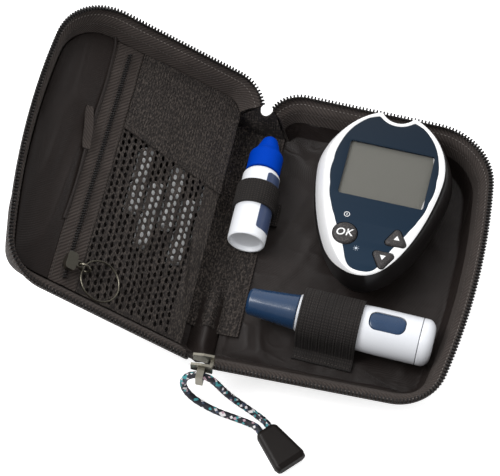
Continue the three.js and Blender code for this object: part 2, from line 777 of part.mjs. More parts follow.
const meterTop = meterThickness;                     // above the meter's underside
const topHousingHeight = meterThickness - meterSplit - gap / 2;
const roofUnder = meterTop - facePlateThickness - facePlateSink - gap - meterWall;
const recessFloor = roofUnder + meterWall;
const boardTop = boardLift + boardThickness;
const partLow = boardTop + gap;                      // what stands on the board
const portSlotLow = partLow + (portHeight - portSlotHeight) / 2;
const padTop = partLow + padThickness;
const buttonFoot = padTop + buttonTravel + gap;
const displayTop = partLow + displayThickness;
const notchCentre = meterTopReach - meterNotchDepth + meterNotchRadius;

// A ring round the meter at one level, drawn in by an inset.
function meterRing(amount, z, wall = 0, rearLean = 1, frontLean = 1) {
  const ring = [];
  const wide = meterWidth / 2 - amount - wall;
  const up = meterTopReach - meterBelly - amount * rearLean - wall;
  const down = meterBottomReach + meterBelly - amount * frontLean - wall;
  for (let i = 0; i < meterSides; i += 1) {
    const angle = (fullTurn * i) / meterSides;
    const rise = Math.sin(angle);
    const v = rise >= 0 ? meterBelly + up * rise : meterBelly + down * rise;
    const share = Math.abs(rise);
    const round = Math.sqrt(1 - share ** (rise >= 0 ? 2 : meterTaperPower));
    const u = Math.sign(Math.cos(angle)) * wide * round;
    ring.push(new THREE.Vector3(Math.abs(Math.cos(angle)) < 1e-9 ? 0 : u, v, z));
  }
  return ring;
}

// A lofted body whose inset follows a table of height and inset shares.
function meterBody(z0, height, heightShares, insetShares, wall, low = 0, leans = [1, 1]) {
  const scale = meterWidth / 2;
  const levels = [low, ...heightShares.filter((share) => share > low)];
  return loft(levels.map((share) => {
    const amount = between(heightShares, insetShares, share) * scale;
    return meterRing(amount, z0 + share * height, wall, ...leans);
  }));
}

function notchTool(radius, z0, z1) {
  return drum(0, notchCentre, radius, z0, z1, 28);
}

function windowTool(margin, z0, z1) {
  const shape = roundedRectangle(windowOffset, 0, windowWidth + 2 * margin, windowHeight + 2 * margin,
    windowCorner + margin);
  return plate(shape, z0, z1);
}

function okButtonBody(margin, z0, z1) {
  return drum(okButtonU, okButtonV, okButtonRadius + margin, z0, z1);
}

// An arrow button: a triangle with rounded corners.
function arrowButtonBody(u, v, turn, margin, z0, z1) {
  const shape = new THREE.Shape();
  const reach = arrowButtonReach - 2 * arrowButtonRound;
  for (let i = 0; i < 3; i += 1) {
    const heading = turn + (fullTurn * i) / 3;
    const x = u + reach * Math.cos(heading);
    const y = v + reach * Math.sin(heading);
    shape.absarc(x, y, arrowButtonRound + margin, heading - fullTurn / 6, heading + fullTurn / 6);
  }
  return plate(shape, z0, z1);
}

function upButtonBody(margin, z0, z1) {
  return arrowButtonBody(upButtonU, upButtonV, upButtonTurn, margin, z0, z1);
}

function downButtonBody(margin, z0, z1) {
  return arrowButtonBody(downButtonU, downButtonV, downButtonTurn, margin, z0, z1);
}

const screwPlaces = [
  [screwUpperU, screwUpperV], [-screwUpperU, screwUpperV],
  [screwLowerU, screwLowerV], [-screwLowerU, screwLowerV],
];

// The face plate's outline, drawn in or out by a margin.
function facePlateShape(margin) {
  const right = facePlateEdgeShares.map(([across, along]) => {
    const reach = along > 0 ? facePlateTop : facePlateBottom;
    const u = across * facePlateHalfWidth;
    const length = Math.hypot(u, along * reach);
    const grow = 1 + margin / length;
    return new THREE.Vector2(u * grow, along * reach * grow);
  });
  const left = right.slice(0, -1).reverse().map((p) => new THREE.Vector2(-p.x, p.y));
  return new THREE.Shape([...right, ...left]);
}

function buttonTools(margin, z0, z1) {
  return [okButtonBody(margin, z0, z1), upButtonBody(margin, z0, z1), downButtonBody(margin, z0, z1)];
}

function topHousingGeometry() {
  const low = meterSplit + gap / 2;
  const leans = [rearLeanShare, frontLeanShare];
  const body = meterBody(low, topHousingHeight, topHeightShares, topInsetShares, 0, 0, leans);
  const hollowTop = (roofUnder - low) / topHousingHeight;
  const hollow = loft([-overrun / topHousingHeight, ...topHeightShares.filter((s) => s < hollowTop), hollowTop]
    .map((share) => {
      const amount = between(topHeightShares, topInsetShares, Math.max(share, 0)) * meterWidth / 2;
      return meterRing(amount, low + share * topHousingHeight, meterWall, ...leans);
    }));
  const notchWall = notchTool(meterNotchRadius + meterWall, low - overrun, roofUnder);
  const innerHollow = geometryOf(solid(hollow).subtract(solid(notchWall)));
  const recess = cut(plate(facePlateShape(facePlateFit), recessFloor, meterTop + overrun),
    notchTool(meterNotchRadius + facePlateNotchRim - gap, recessFloor - overrun, meterTop + 2 * overrun));
  const bosses = screwPlaces.map(([u, v]) => drum(u, v, bossRadius, partLow, roofUnder + gap, bossSides));
  const bore = screwRadius + gap;
  const bores = screwPlaces.map(([u, v]) => drum(u, v, bore, boardTop, roofUnder - gap, boreSides));
  const slot = block(-portSlotWidth / 2, portSlotWidth / 2, notchCentre - meterNotchRadius - 2 * meterWall,
    notchCentre, portSlotLow, portSlotLow + portSlotHeight);
  const outer = cut(body, innerHollow, notchTool(meterNotchRadius, 0, meterTop + overrun), recess, slot,
    windowTool(gap, roofUnder - overrun, meterTop), ...buttonTools(gap, padTop, meterTop + overrun));
  return cut(unite(outer, ...bosses), ...bores);
}

function bottomHousingGeometry() {
  const body = meterBody(0, meterSplit - gap / 2, bottomHeightShares, bottomInsetShares, 0);
  const floorShare = meterWall / meterSplit;
  const hollow = meterBody(0, meterSplit, bottomHeightShares, bottomInsetShares, meterWall, floorShare);
  const notch = notchTool(meterNotchRadius, -overrun, meterSplit);
  const bossTop = boardLift - gap;
  const bossFeet = screwPlaces.map(([u, v]) => drum(u, v, bossRadius, 0, bossTop, bossSides));
  const kept = cut(hollow, notchTool(meterNotchRadius + meterWall, 0, meterSplit), ...bossFeet);
  const bosses = screwPlaces.map(([u, v]) => drum(u, v, bossRadius, meterSplit / 2, bossTop, bossSides));
  const bores = screwPlaces.map(([u, v]) => drum(u, v, screwRadius + gap, -overrun, boardLift, boreSides));
  const sinks = screwPlaces.map(([u, v]) => drum(u, v, screwHeadRadius + gap, -overrun,
    screwSink + screwHeadHeight + gap, bossSides));
  const doorSide = doorWidth / 2 + gap;
  const doorEnd = doorLength / 2 + gap;
  const opening = block(-doorSide, doorSide, cellCentreV - doorEnd, cellCentreV + doorEnd,
    -overrun, meterWall + overrun);
  const recess = block(-doorSide, doorSide, cellCentreV - doorEnd - doorTravel, cellCentreV,
    -overrun, doorThickness + gap);
  return cut(unite(cut(body, kept, notch), ...bosses), ...bores, ...sinks, opening, recess);
}

function facePlateGeometry() {
  const low = meterTop - facePlateSink - facePlateThickness;
  const high = meterTop - facePlateSink;
  return cut(plate(facePlateShape(0), low, high),
    notchTool(meterNotchRadius + facePlateNotchRim, low - overrun, high + overrun),
    windowTool(gap, low - overrun, high + overrun), ...buttonTools(gap, low - overrun, high + overrun));
}

function boardOutline(z0, z1) {
  return loft([meterRing(boardInset, z0), meterRing(boardInset, z1)]);
}

function padGeometry() {
  const reach = meterBottomReach;
  const keyField = block(-reach, reach, -reach, padTopV, boardTop, padTop + overrun);
  return common(boardOutline(partLow, padTop), keyField);
}

function boardGeometry() {
  const outline = boardOutline(boardLift, boardTop);
  const low = boardLift - overrun;
  const high = boardTop + overrun;
  const holes = screwPlaces.map(([u, v]) => drum(u, v, screwRadius + gap, low, high, boreSides));
  return cut(outline, notchTool(meterNotchRadius + meterWall + gap, low, high), ...holes);
}

function screwGeometry(u, v) {
  const tip = roofUnder - 2 * gap;
  const profile = [
    [0, screwSink], [screwHeadRadius, screwSink], [screwHeadRadius, screwSink + screwHeadHeight],
    [screwRadius, screwSink + screwHeadHeight], [screwRadius, tip], [0, tip],
  ];
  return turned(profile, boreSides).rotateX(quarterTurn).translate(u, v, 0);
}

function portGeometry() {
  const rear = notchCentre - meterNotchRadius - meterWall - gap;
  const body = block(-portWidth / 2, portWidth / 2, rear - portDepth, rear, partLow, partLow + portHeight);
  const slot = block(-portSlotWidth / 2, portSlotWidth / 2, rear - portDepth + meterWall, rear + overrun,
    portSlotLow, portSlotLow + portSlotHeight);
  return cut(body, slot);
}

function cradleGeometry() {
  const drop = meterBase - floorTop - gap;
  const scale = meterSplit;
  const levels = bottomHeightShares.map((share) => share * scale).filter((z) => z < cradleHeight - drop);
  const amountAt = (z) => between(bottomHeightShares, bottomInsetShares, z / scale) * meterWidth / 2;
  const top = cradleHeight - drop;
  const around = (z, extra) => meterRing(amountAt(Math.max(z, 0)) + extra, z);
  const sides = [...levels, top].map((z) => around(z, -gap - cradleWall));
  const outer = loft([meterRing(amountAt(0), -drop), ...sides]);
  const inner = loft([...levels.map((z) => around(z, -gap)), around(top, -gap), around(top + overrun, -gap)]
    .map((ring) => ring.map((p) => new THREE.Vector3(p.x, p.y, p.z - gap))));
  return cut(outer, inner, notchTool(meterNotchRadius - gap, -drop - overrun, top + overrun));
}

// Vial

function vialBottleGeometry() {
  const neckTop = vialShoulder + vialNeckLength;
  return turned([
    [0, vialRecess], [vialRecessRadius, vialRecess], [vialRecessRadius, 0],
    [vialRadius - vialWall / 2, 0], [vialRadius, vialWall / 2], [vialRadius, vialShoulder - vialWall],
    [vialRadius - vialWall, vialShoulder], [vialNeckRadius, vialShoulder], [vialNeckRadius, neckTop],
    [vialBore, neckTop], [vialBore, vialShoulder - vialWall],
    [vialRadius - vialWall, vialShoulder - 2 * vialWall], [vialRadius - vialWall, vialRecess + vialWall],
    [0, vialRecess + vialWall],
  ]);
}

function vialNozzleGeometry() {
  const seat = vialShoulder + vialNeckLength + gap;
  return turned([
    [0, vialShoulder], [vialBore - gap, vialShoulder], [vialBore - gap, seat], [vialNeckRadius - gap, seat],
    [vialNeckRadius - gap, seat + vialWall], [vialWall, vialTip - 3 * vialWall], [0, vialTip - 3 * vialWall],
  ], 16);
}

function vialCapGeometry() {
  const foot = vialShoulder + 2 * gap;
  const step = vialCapStep;
  const inside = vialNeckRadius + gap;
  return turned([
    [0, vialTip - 2 * vialWall], [vialWall + gap, vialTip - 2 * vialWall],
    [inside, vialShoulder + vialNeckLength + vialWall + 2 * gap], [inside, foot],
    [vialCapRadius, foot], [vialCapRadius, step - vialWall], [vialCapRadius - vialWall / 2, step],
    [vialTipRadius, step], [vialTipRadius, vialTip - vialWall / 2], [vialTipRadius - vialWall / 2, vialTip],
    [0, vialTip],
  ]);
}

// Elastic loop round the vial, with a tab sewn to the lining.
function vialLoopGeometry() {
  const inner = vialRadius + gap;
  const outer = inner + elasticThickness;
  const ring = turned([
    [inner, 0], [outer, 0], [outer, vialLoopWidth], [inner, vialLoopWidth], [inner, 0],
  ]).translate(vialX, 0, vialZ);
  const low = floorTop + gap;
  const tab = block(vialX, vialLoopTab, 0, vialLoopWidth, low, low + elasticThickness);
  const bore = turned([[0, -overrun], [inner, -overrun], [inner, vialLoopWidth + overrun],
    [0, vialLoopWidth + overrun]]).translate(vialX, 0, vialZ);
  return cut(unite(ring, tab), bore).translate(0, vialY + vialLoopStart, 0);
}

// Lancing device, turned about its own axis, which is Y here; +Z is up.

const ringStart = lancerCapLength + gap;
const bodyStart = ringStart + lancerRingLength + gap;
const sleeveStart = lancerLength - lancerSleeveLength;
const bodyEnd = sleeveStart - gap;
const stemStart = sleeveStart - sleeveStemLength;
const holderStart = bodyStart + lancerRingLength;

function lancerCapGeometry() {
  const wall = lancerCapWall;
  const inner = lancerCapRadius - wall;
  return turned([
    [lancetHole, 0], [lancerCapTipRadius - wall / 2, 0], [lancerCapTipRadius, wall / 2],
    [lancerCapTipRadius + wall / 2, lancerCapLength * lancerCapNeckShare],
    [lancerCapRadius - wall / 3, lancerCapLength * lancerCapSwellShare],
    [lancerCapRadius, lancerCapLength], [inner, lancerCapLength],
    [lancerCapTipRadius - wall, lancerCapLength * lancerCapBoreShare], [lancerCapTipRadius - wall, wall],
    [lancetHole, wall], [lancetHole, 0],
  ]);
}

function lancerRingGeometry() {
  const inner = lancerCapRadius - lancerCapWall;
  return turned([
    [inner, ringStart], [lancerRingRadius, ringStart], [lancerRingRadius, ringStart + lancerRingLength],
    [inner, ringStart + lancerRingLength], [inner, ringStart],
  ]);
}

function releaseShape(margin) {
  const width = releaseWidth + 2 * margin;
  return roundedRectangle(0, releasePlace, width, releaseLength + 2 * margin, width * releaseCornerShare);
}

function lancerBodyGeometry() {
  const swell = bodyStart + (bodyEnd - bodyStart) * lancerBodySwellShare;
  const tube = turned([
    [lancerBore, bodyStart], [lancerFrontRadius, bodyStart], [lancerRadius, swell], [lancerRadius, bodyEnd],
    [lancerBore, bodyEnd], [lancerBore, bodyStart],
  ], 32);
  return cut(tube, plate(releaseShape(gap), 0, lancerRadius + overrun));
}

function releaseButtonGeometry() {
  const high = lancerRadius - releaseSink;
  const blank = plate(releaseShape(0), high - releaseDepth, lancerRadius);
  const round = turned([[0, 0], [high, 0], [high, lancerLength], [0, lancerLength]], 36);
  return common(blank, round);
}

function lancerSleeveGeometry() {
  const end = lancerLength;
  return turned([
    [0, stemStart], [sleeveStemRadius, stemStart], [sleeveStemRadius, sleeveStart], [lancerRadius, sleeveStart],
    ...sleeveEndShares.map(([across, along]) => [lancerRadius * across, end - lancerSleeveLength * along]),
    [0, end],
  ]);
}

function plungerGeometry() {
  const rear = stemStart - gap;
  const collar = plungerCollarPlace + plungerCollarLength;
  return turned([
    [0, holderStart], [plungerHolderRadius, holderStart], [plungerHolderRadius, plungerCollarPlace],
    [plungerCollarRadius, plungerCollarPlace], [plungerCollarRadius, collar], [plungerRadius, collar],
    [plungerRadius, rear], [0, rear],
  ], 20);
}

function springGeometry() {
  const inner = plungerRadius + gap;
  const low = plungerCollarPlace + plungerCollarLength + gap;
  const high = stemStart - gap;
  return turned([
    [inner, low], [inner + springWire, low], [inner + springWire, high], [inner, high], [inner, low],
  ], 20);
}

function fittedLancetGeometry() {
  const rear = holderStart - gap;
  const front = rear - fittedLancetLength;
  return turned([
    [0, front], [needleRadius, front], [needleRadius, front + fittedLancetLength * needleShare],
    ...fittedLancetShares.map(([across, along]) => [
      fittedLancetRadius * across, front + fittedLancetLength * along,
    ]),
    [fittedLancetRadius, rear], [0, rear],
  ], 12);
}

// Elastic strap over the lancing device, with a foot sewn down on each side.
function strapGeometry() {
  const inner = lancerRadius + gap;
  const outer = inner + elasticThickness;
  const low = floorTop + gap - lancerZ;
  const high = low + elasticThickness;
  const shape = new THREE.Shape();
  shape.moveTo(-outer - strapFoot, low);
  shape.lineTo(-inner, low);
  shape.lineTo(-inner, 0);
  shape.absarc(0, 0, inner, halfTurn, 0, true);
  shape.lineTo(inner, low);
  shape.lineTo(outer + strapFoot, low);
  shape.lineTo(outer + strapFoot, high);
  shape.lineTo(outer, high);
  shape.lineTo(outer, 0);
  shape.absarc(0, 0, outer, 0, halfTurn, false);
  shape.lineTo(-outer, high);
  shape.lineTo(-outer - strapFoot, high);
  const options = { depth: strapWidth, bevelEnabled: false, curveSegments: 10 };
  const geometry = soup(new THREE.ExtrudeGeometry(shape, options));
  return geometry.rotateX(quarterTurn).translate(0, strapStart + strapWidth, 0);
}

// Pocket in the lid, built on the +X side and mirrored

const pocketTop = pocketLevel + pocketSheet;
const pocketTapeOuter = pocketZipLine + pocketTapeWidth / 2;
const pocketTapeInner = pocketZipLine - pocketTapeWidth / 2;

// The outline of the pocket's front at its level, clear of the walls.
function pocketOutline(z0, z1) {
  const clear = (station) => Math.max(innerInset(station, z0), innerInset(station, z1))
    + liningThickness + 3 * gap;
  const stations = rimStations(pocketSpineEdge);
  const ringAt = (z) => stations.map((station) => inset(station, clear(station), z));
  return loft([ringAt(z0), ringAt(z1)]);
}

function pocketStrip(x0, x1, y0, y1, z0, z1) {
  return common(pocketOutline(z0, z1), block(x0, x1, y0, y1, z0 - overrun, z1 + overrun));
}

function pocketPanelGeometry() {
  return pocketStrip(pocketTapeOuter + gap, caseReach, -frontReach, caseLength, pocketLevel, pocketTop);
}

function pocketTapeGeometry() {
  return pocketStrip(pocketTapeInner, pocketTapeOuter, -frontReach, caseLength, pocketLevel, pocketTop);
}

// The net: a thin sheet with staggered diamond holes.
function netGeometry() {
  const x0 = pocketSpineEdge;
  const x1 = pocketTapeInner - gap;
  const sheet = pocketStrip(x0, x1, -frontReach, netTop, pocketLevel, pocketTop);
  const front = inset({ x: 0, y: -frontReach, heading: 0 }, innerInset({ heading: 0 }, pocketTop)
    + liningThickness + 3 * gap, 0).y;
  const pitchX = (x1 - x0 - 2 * netMargin) / (netColumns + 0.5);
  const pitchY = (netTop - front - 2 * netMargin) / (netRows + 0.25);
  const halfWidth = (pitchX * netHoleWidthShare) / 2;
  const halfLength = (pitchY * netHoleLengthShare) / 2;
  const corners = [];
  for (let row = 0; row < netRows; row += 1) {
    for (let column = 0; column < netColumns; column += 1) {
      const x = x0 + netMargin + pitchX * (column + 0.5 + (row % 2) / 2);
      const y = front + netMargin + pitchY * (row + 0.625);
      const shape = new THREE.Shape([
        new THREE.Vector2(x + halfWidth, y), new THREE.Vector2(x, y + halfLength),
        new THREE.Vector2(x - halfWidth, y), new THREE.Vector2(x, y - halfLength),
      ]);
      corners.push(plate(shape, pocketLevel - overrun, pocketTop + overrun));
    }
  }
  return cut(sheet, ...corners);
}

// The folded-down upper part of the mesh, lying on the net.
function flapGeometry() {
  const low = pocketTop + gap;
  const high = low + flapThickness;
  const x0 = pocketSpineEdge;
  const x1 = pocketTapeInner - flapTapeGap;
  const shape = new THREE.Shape([
    new THREE.Vector2(x0, flapFoldInner), new THREE.Vector2(x1, flapFoldOuter),
    new THREE.Vector2(x1, caseLength), new THREE.Vector2(x0, caseLength),
  ]);
  return common(pocketOutline(low, high), plate(shape, low - overrun, high + overrun));
}

function pocketChainGeometry() {
  const low = pocketTop + gap;
  const strip = pocketOutline(low, low + pocketChainHeight);
  const front = -frontReach + frontRun / 2 + pocketChainMargin;
  const rear = caseLength - frontReach - frontRun / 2 - pocketChainMargin;
  return common(strip, block(pocketZipLine - pocketChainWidth / 2, pocketZipLine + pocketChainWidth / 2,
    front, rear, low - overrun, low + pocketChainHeight + overrun));
}

function ribbonGeometry() {
  const low = pocketTop + gap;
  const shape = roundedRectangle(0, 0, ribbonWidth, ribbonLength, ribbonWidth / 4);
  return plate(shape, low, low + ribbonThickness).rotateZ(ribbonTurn).translate(ribbonX, ribbonY, 0);
}

function looseLancetGeometry(index) {
  const body = lancetLength - lancetDiscThickness;
  const profile = [
    [0, 0], ...lancetShares.map(([across, along]) => [lancetRadius * across, body * along]),
    [lancetDiscRadius, body], [lancetDiscRadius, lancetLength], [0, lancetLength],
  ];
  const flip = index % 2 === 0 ? 0 : halfTurn;
  const geometry = turned(profile, 12).translate(0, -lancetLength / 2, 0).rotateZ(flip);
  const x = lancetFirstX + index * lancetSpacing;
  const y = lancetY + (index % 2 === 0 ? lancetStagger : -lancetStagger);
  return geometry.translate(x, y, floorTop + gap + lancetDiscRadius);
}

// Pocket slider with a tab whose hole holds the small ring, which stands in it.
const pocketSliderLow = pocketTop + gap + pocketChainHeight + gap;
const pocketSliderTop = pocketSliderLow + pocketSliderHeight;
const tabHoleX = -pocketZipLine + pocketSliderWidth / 2 + ringTab / 2;
const smallRingX = tabHoleX + smallRingRadius * Math.cos(ringHeading);
const smallRingY = pocketSliderY + smallRingRadius * Math.sin(ringHeading);
const smallRingZ = pocketSliderTop - ringTabThickness / 2;
const splitRingZ = smallRingZ - smallRingRadius + ringWire + gap;

function pocketSliderGeometry() {
  const plateShape = roundedRectangle(-pocketZipLine, pocketSliderY, pocketSliderWidth, pocketSliderLength,
    pocketSliderWidth / 3);
  const tab = block(-pocketZipLine, tabHoleX + ringTab / 2, pocketSliderY - ringTab / 2,
    pocketSliderY + ringTab / 2, pocketSliderTop - ringTabThickness, pocketSliderTop);
  const hole = drum(tabHoleX, pocketSliderY, ringWire, 0, rimHeight, 12);
  const top = cut(unite(plate(plateShape, pocketSliderLow, pocketSliderTop), tab), hole);
  const cheek = (side) => {
    const inner = pocketChainWidth / 2 + gap;
    const x0 = -pocketZipLine + (side > 0 ? inner : -pocketSliderWidth / 2);
    const x1 = -pocketZipLine + (side > 0 ? pocketSliderWidth / 2 : -inner);
    return block(x0, x1, pocketSliderY - pocketSliderLength / 4, pocketSliderY + pocketSliderLength / 4,
      pocketTop + gap, pocketSliderTop - gap);
  };
  return unite(top, cheek(1), cheek(-1));
}

function smallRingGeometry() {
  const ring = wireRing(smallRingRadius, ringWire).rotateX(quarterTurn).rotateZ(ringHeading);
  return ring.translate(smallRingX, smallRingY, smallRingZ);
}

function splitRingGeometry() {
  const x = smallRingX + splitRingRadius * Math.cos(ringHeading);
  const y = smallRingY + splitRingRadius * Math.sin(ringHeading);
  return wireRing(splitRingRadius, ringWire).translate(x, y, splitRingZ);
}

// Assembly

function add(group, name, geometry, finish) {
  const shape = geometry.index ? geometry.toNonIndexed() : geometry;
  shape.computeVertexNormals();
  const mesh = new THREE.Mesh(shape, new THREE.MeshStandardMaterial(finish));
  mesh.name = name;
  group.add(mesh);
}

const caseGroup = new THREE.Group();
caseGroup.position.x = -caseReach / 2;

const baseHalf = new THREE.Group();
add(baseHalf, 'base_shell', shellGeometry(), fabricBlack);
add(baseHalf, 'base_lining', liningGeometry(), satinBlack);
add(baseHalf, 'base_zip_tape', tapeGeometry(spineStart), fabricBlack);
add(baseHalf, 'base_zip_chain', chainGeometry(spineStart), zipBlack);
add(baseHalf, 'spine_panel', spinePanelGeometry(), fabricBlack);
add(baseHalf, 'zip_slider', sliderGeometry(), sliderMetal);
add(baseHalf, 'pull_cord', cordGeometry(), cordNavy);
add(baseHalf, 'pull_end', pullEndGeometry(), mouldedBrown);
caseGroup.add(baseHalf);

const meterGroup = new THREE.Group();
meterGroup.position.set(meterX, meterY, meterBase);
meterGroup.rotation.z = meterTurn;
add(meterGroup, 'meter_cradle', cradleGeometry(), glossBlack);
add(meterGroup, 'meter_bottom_housing', bottomHousingGeometry(), glossBlack);
add(meterGroup, 'meter_top_housing', topHousingGeometry(), silverPaint);
add(meterGroup, 'meter_face_plate', facePlateGeometry(), navyPlate);
add(meterGroup, 'meter_lens', windowTool(0, meterTop - facePlateSink - lensThickness, meterTop - facePlateSink),
  clearLens);
add(meterGroup, 'meter_display', windowTool(displayMargin, partLow, displayTop), displayGrey);
add(meterGroup, 'meter_circuit_board', boardGeometry(), boardGreen);
add(meterGroup, 'test_strip_port', portGeometry(), glossBlack);
add(meterGroup, 'button_pad', padGeometry(), rubberGrey);
add(meterGroup, 'ok_button', okButtonBody(0, buttonFoot, meterTop + buttonProud), rubberGrey);
add(meterGroup, 'up_button', upButtonBody(0, buttonFoot, meterTop + buttonProud), rubberGrey);
add(meterGroup, 'down_button', downButtonBody(0, buttonFoot, meterTop + buttonProud), rubberGrey);
screwPlaces.forEach(([u, v], i) => add(meterGroup, `housing_screw_${i + 1}`, screwGeometry(u, v), steel));
const cellLow = doorThickness + gap;
[1, -1].forEach((side, i) => {
  const v = cellCentreV + side * cellSpacing / 2;
  add(meterGroup, `coin_cell_${i + 1}`, drum(0, v, cellRadius, cellLow, cellLow + cellThickness), steel);
});
const contactLow = cellLow + cellThickness + gap;
add(meterGroup, 'cell_contact', block(-contactWidth / 2, contactWidth / 2, cellCentreV - cellSpacing,
  cellCentreV + cellSpacing, contactLow, contactLow + contactThickness), steel);
add(meterGroup, 'battery_door', block(-doorWidth / 2, doorWidth / 2, cellCentreV - doorLength / 2,
  cellCentreV + doorLength / 2, 0, doorThickness), glossBlack);
caseGroup.add(meterGroup);

const vialGroup = new THREE.Group();
vialGroup.position.set(vialX, vialY, vialZ);
add(vialGroup, 'vial_bottle', vialBottleGeometry(), whitePlastic);
add(vialGroup, 'vial_nozzle', vialNozzleGeometry(), whitePlastic);
add(vialGroup, 'vial_cap', vialCapGeometry(), capBlue);
caseGroup.add(vialGroup);
add(baseHalf, 'vial_loop', vialLoopGeometry(), elasticBlack);

const lancerGroup = new THREE.Group();
lancerGroup.position.set(lancerX, lancerY, lancerZ);
lancerGroup.rotation.z = lancerTurn - quarterTurn;
add(lancerGroup, 'lancer_cap', lancerCapGeometry(), lancerNavy);
add(lancerGroup, 'lancer_ring', lancerRingGeometry(), whitePlastic);
add(lancerGroup, 'lancer_body', lancerBodyGeometry(), whitePlastic);
add(lancerGroup, 'lancer_release_button', releaseButtonGeometry(), lancerNavy);
add(lancerGroup, 'lancer_cocking_sleeve', lancerSleeveGeometry(), whitePlastic);
add(lancerGroup, 'lancer_plunger', plungerGeometry(), whitePlastic);
add(lancerGroup, 'lancer_spring', springGeometry(), steel);
add(lancerGroup, 'fitted_lancet', fittedLancetGeometry(), whitePlastic);
add(lancerGroup, 'lancer_strap', strapGeometry(), elasticBlack);
caseGroup.add(lancerGroup);

const lidSwing = new THREE.Group();
lidSwing.position.z = rimHeight;
lidSwing.rotation.y = lidRestAngle;
const lidHalf = new THREE.Group();
lidHalf.position.z = -rimHeight;
lidSwing.add(lidHalf);
add(lidHalf, 'lid_shell', mirrored(shellGeometry()), fabricBlack);
add(lidHalf, 'lid_lining', mirrored(liningGeometry()), satinBlack);
add(lidHalf, 'lid_zip_tape', mirrored(tapeGeometry(lidChainStart)), fabricBlack);
add(lidHalf, 'lid_zip_chain', mirrored(chainGeometry(lidChainStart)), zipBlack);
add(lidHalf, 'pocket_panel', mirrored(pocketPanelGeometry()), satinBlack);
add(lidHalf, 'pocket_zip_tape', mirrored(pocketTapeGeometry()), fabricBlack);
add(lidHalf, 'pocket_zip_chain', mirrored(pocketChainGeometry()), zipBlack);
add(lidHalf, 'mesh_pocket', mirrored(netGeometry()), meshBlack);
add(lidHalf, 'mesh_flap', mirrored(flapGeometry()), meshBlack);
add(lidHalf, 'pocket_ribbon', ribbonGeometry(), fabricBlack);
for (let i = 0; i < lancetCount; i += 1) {
  add(lidHalf, `loose_lancet_${i + 1}`, looseLancetGeometry(i), whitePlastic);
}
add(lidHalf, 'pocket_slider', pocketSliderGeometry(), sliderMetal);
add(lidHalf, 'pocket_pull_ring', smallRingGeometry(), sliderMetal);
add(lidHalf, 'split_ring', splitRingGeometry(), steel);
caseGroup.add(lidSwing);

export default caseGroup;
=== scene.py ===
"""Looks of an open glucose meter case with its contents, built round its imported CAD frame.

Lengths are in millimetres, in the frame of the sub-assembly that a class describes. A Seat
turns them into metres in the row frame when a mesh is made.
"""

import json
import logging
import math
from dataclasses import dataclass
from enum import Enum

import bmesh
import bpy
import numpy as np
from mathutils import Matrix, Vector

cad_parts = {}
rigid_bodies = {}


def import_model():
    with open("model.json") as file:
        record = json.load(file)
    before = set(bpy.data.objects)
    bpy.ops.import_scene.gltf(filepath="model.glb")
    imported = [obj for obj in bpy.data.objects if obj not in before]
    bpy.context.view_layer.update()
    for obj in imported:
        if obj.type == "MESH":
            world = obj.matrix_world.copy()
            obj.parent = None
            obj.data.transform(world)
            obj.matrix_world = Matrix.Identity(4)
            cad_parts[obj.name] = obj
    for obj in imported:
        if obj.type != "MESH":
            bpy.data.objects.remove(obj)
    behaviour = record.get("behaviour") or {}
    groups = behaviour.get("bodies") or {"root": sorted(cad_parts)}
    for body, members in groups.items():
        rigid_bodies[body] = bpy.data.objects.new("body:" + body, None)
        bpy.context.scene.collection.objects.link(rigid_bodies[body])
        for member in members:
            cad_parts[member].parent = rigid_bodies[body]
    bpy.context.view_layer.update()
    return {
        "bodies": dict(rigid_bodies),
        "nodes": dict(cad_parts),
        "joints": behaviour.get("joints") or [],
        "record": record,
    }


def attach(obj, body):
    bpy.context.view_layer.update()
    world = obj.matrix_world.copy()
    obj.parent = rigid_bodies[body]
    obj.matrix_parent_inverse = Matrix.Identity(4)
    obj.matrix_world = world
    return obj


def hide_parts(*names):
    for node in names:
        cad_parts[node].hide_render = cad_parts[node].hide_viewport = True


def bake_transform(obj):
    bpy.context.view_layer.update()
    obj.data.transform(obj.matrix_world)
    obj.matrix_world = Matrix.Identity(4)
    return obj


LOG = logging.getLogger("case")
MM = 0.001
FULL_TURN = 2 * math.pi

CASE_REACH = 102.9
FRONT_REACH = 67.9
RIM = 23.2
LID_ANGLE = math.radians(33)
WALL_TOP = 16.7
TAPE_TOP = 20.6
TAPE_BOTTOM = 10.7
FLOOR_TOP = 3.1
GAP = 0.3
SPINE_START = 0.6
LID_CHAIN_START = 7.0
MERGE = 2e-6
NEARLY_NOTHING = 1e-4


@dataclass(frozen=True)
class Seat:
    """Where a sub-assembly's own frame sits in the case, turned about one axis through a pivot."""

    axis: str = "Z"
    angle: float = 0.0
    place: tuple = (0.0, 0.0, 0.0)
    pivot: tuple = (0.0, 0.0, 0.0)

    def turn(self) -> np.ndarray:
        """The rotation as a 3 by 3 matrix."""
        return np.array(Matrix.Rotation(self.angle, 3, self.axis))

    def in_case(self, points: np.ndarray) -> np.ndarray:
        """Turns points about the pivot and moves them to the place, in millimetres."""
        pivot = np.array(self.pivot)
        return (np.asarray(points, float) - pivot) @ self.turn().T + pivot + np.array(self.place)

    def __call__(self, points: np.ndarray) -> np.ndarray:
        """The points, whose last axis is x, y, z in millimetres, in metres in the row frame."""
        return (self.in_case(points) - (CASE_REACH / 2, 0, 0)) * MM


BASE = Seat()
LID = Seat("Y", LID_ANGLE, pivot=(0.0, 0.0, RIM))
METER = Seat("Z", math.radians(-2.2), (55.9, 33.8, 6.2))
VIAL = Seat("Z", 0.0, (3.3, -2.9, 13.2))
LANCER = Seat("Z", math.radians(-93), (10.1, -31.0, 14.2))


# Meshes

def linked(name: str, data: bpy.types.ID) -> bpy.types.Object:
    """Makes an object of a mesh, a curve, a lamp or a camera, and puts it in the scene."""
    made = bpy.data.objects.new(name, data)
    bpy.context.scene.collection.objects.link(made)
    return made


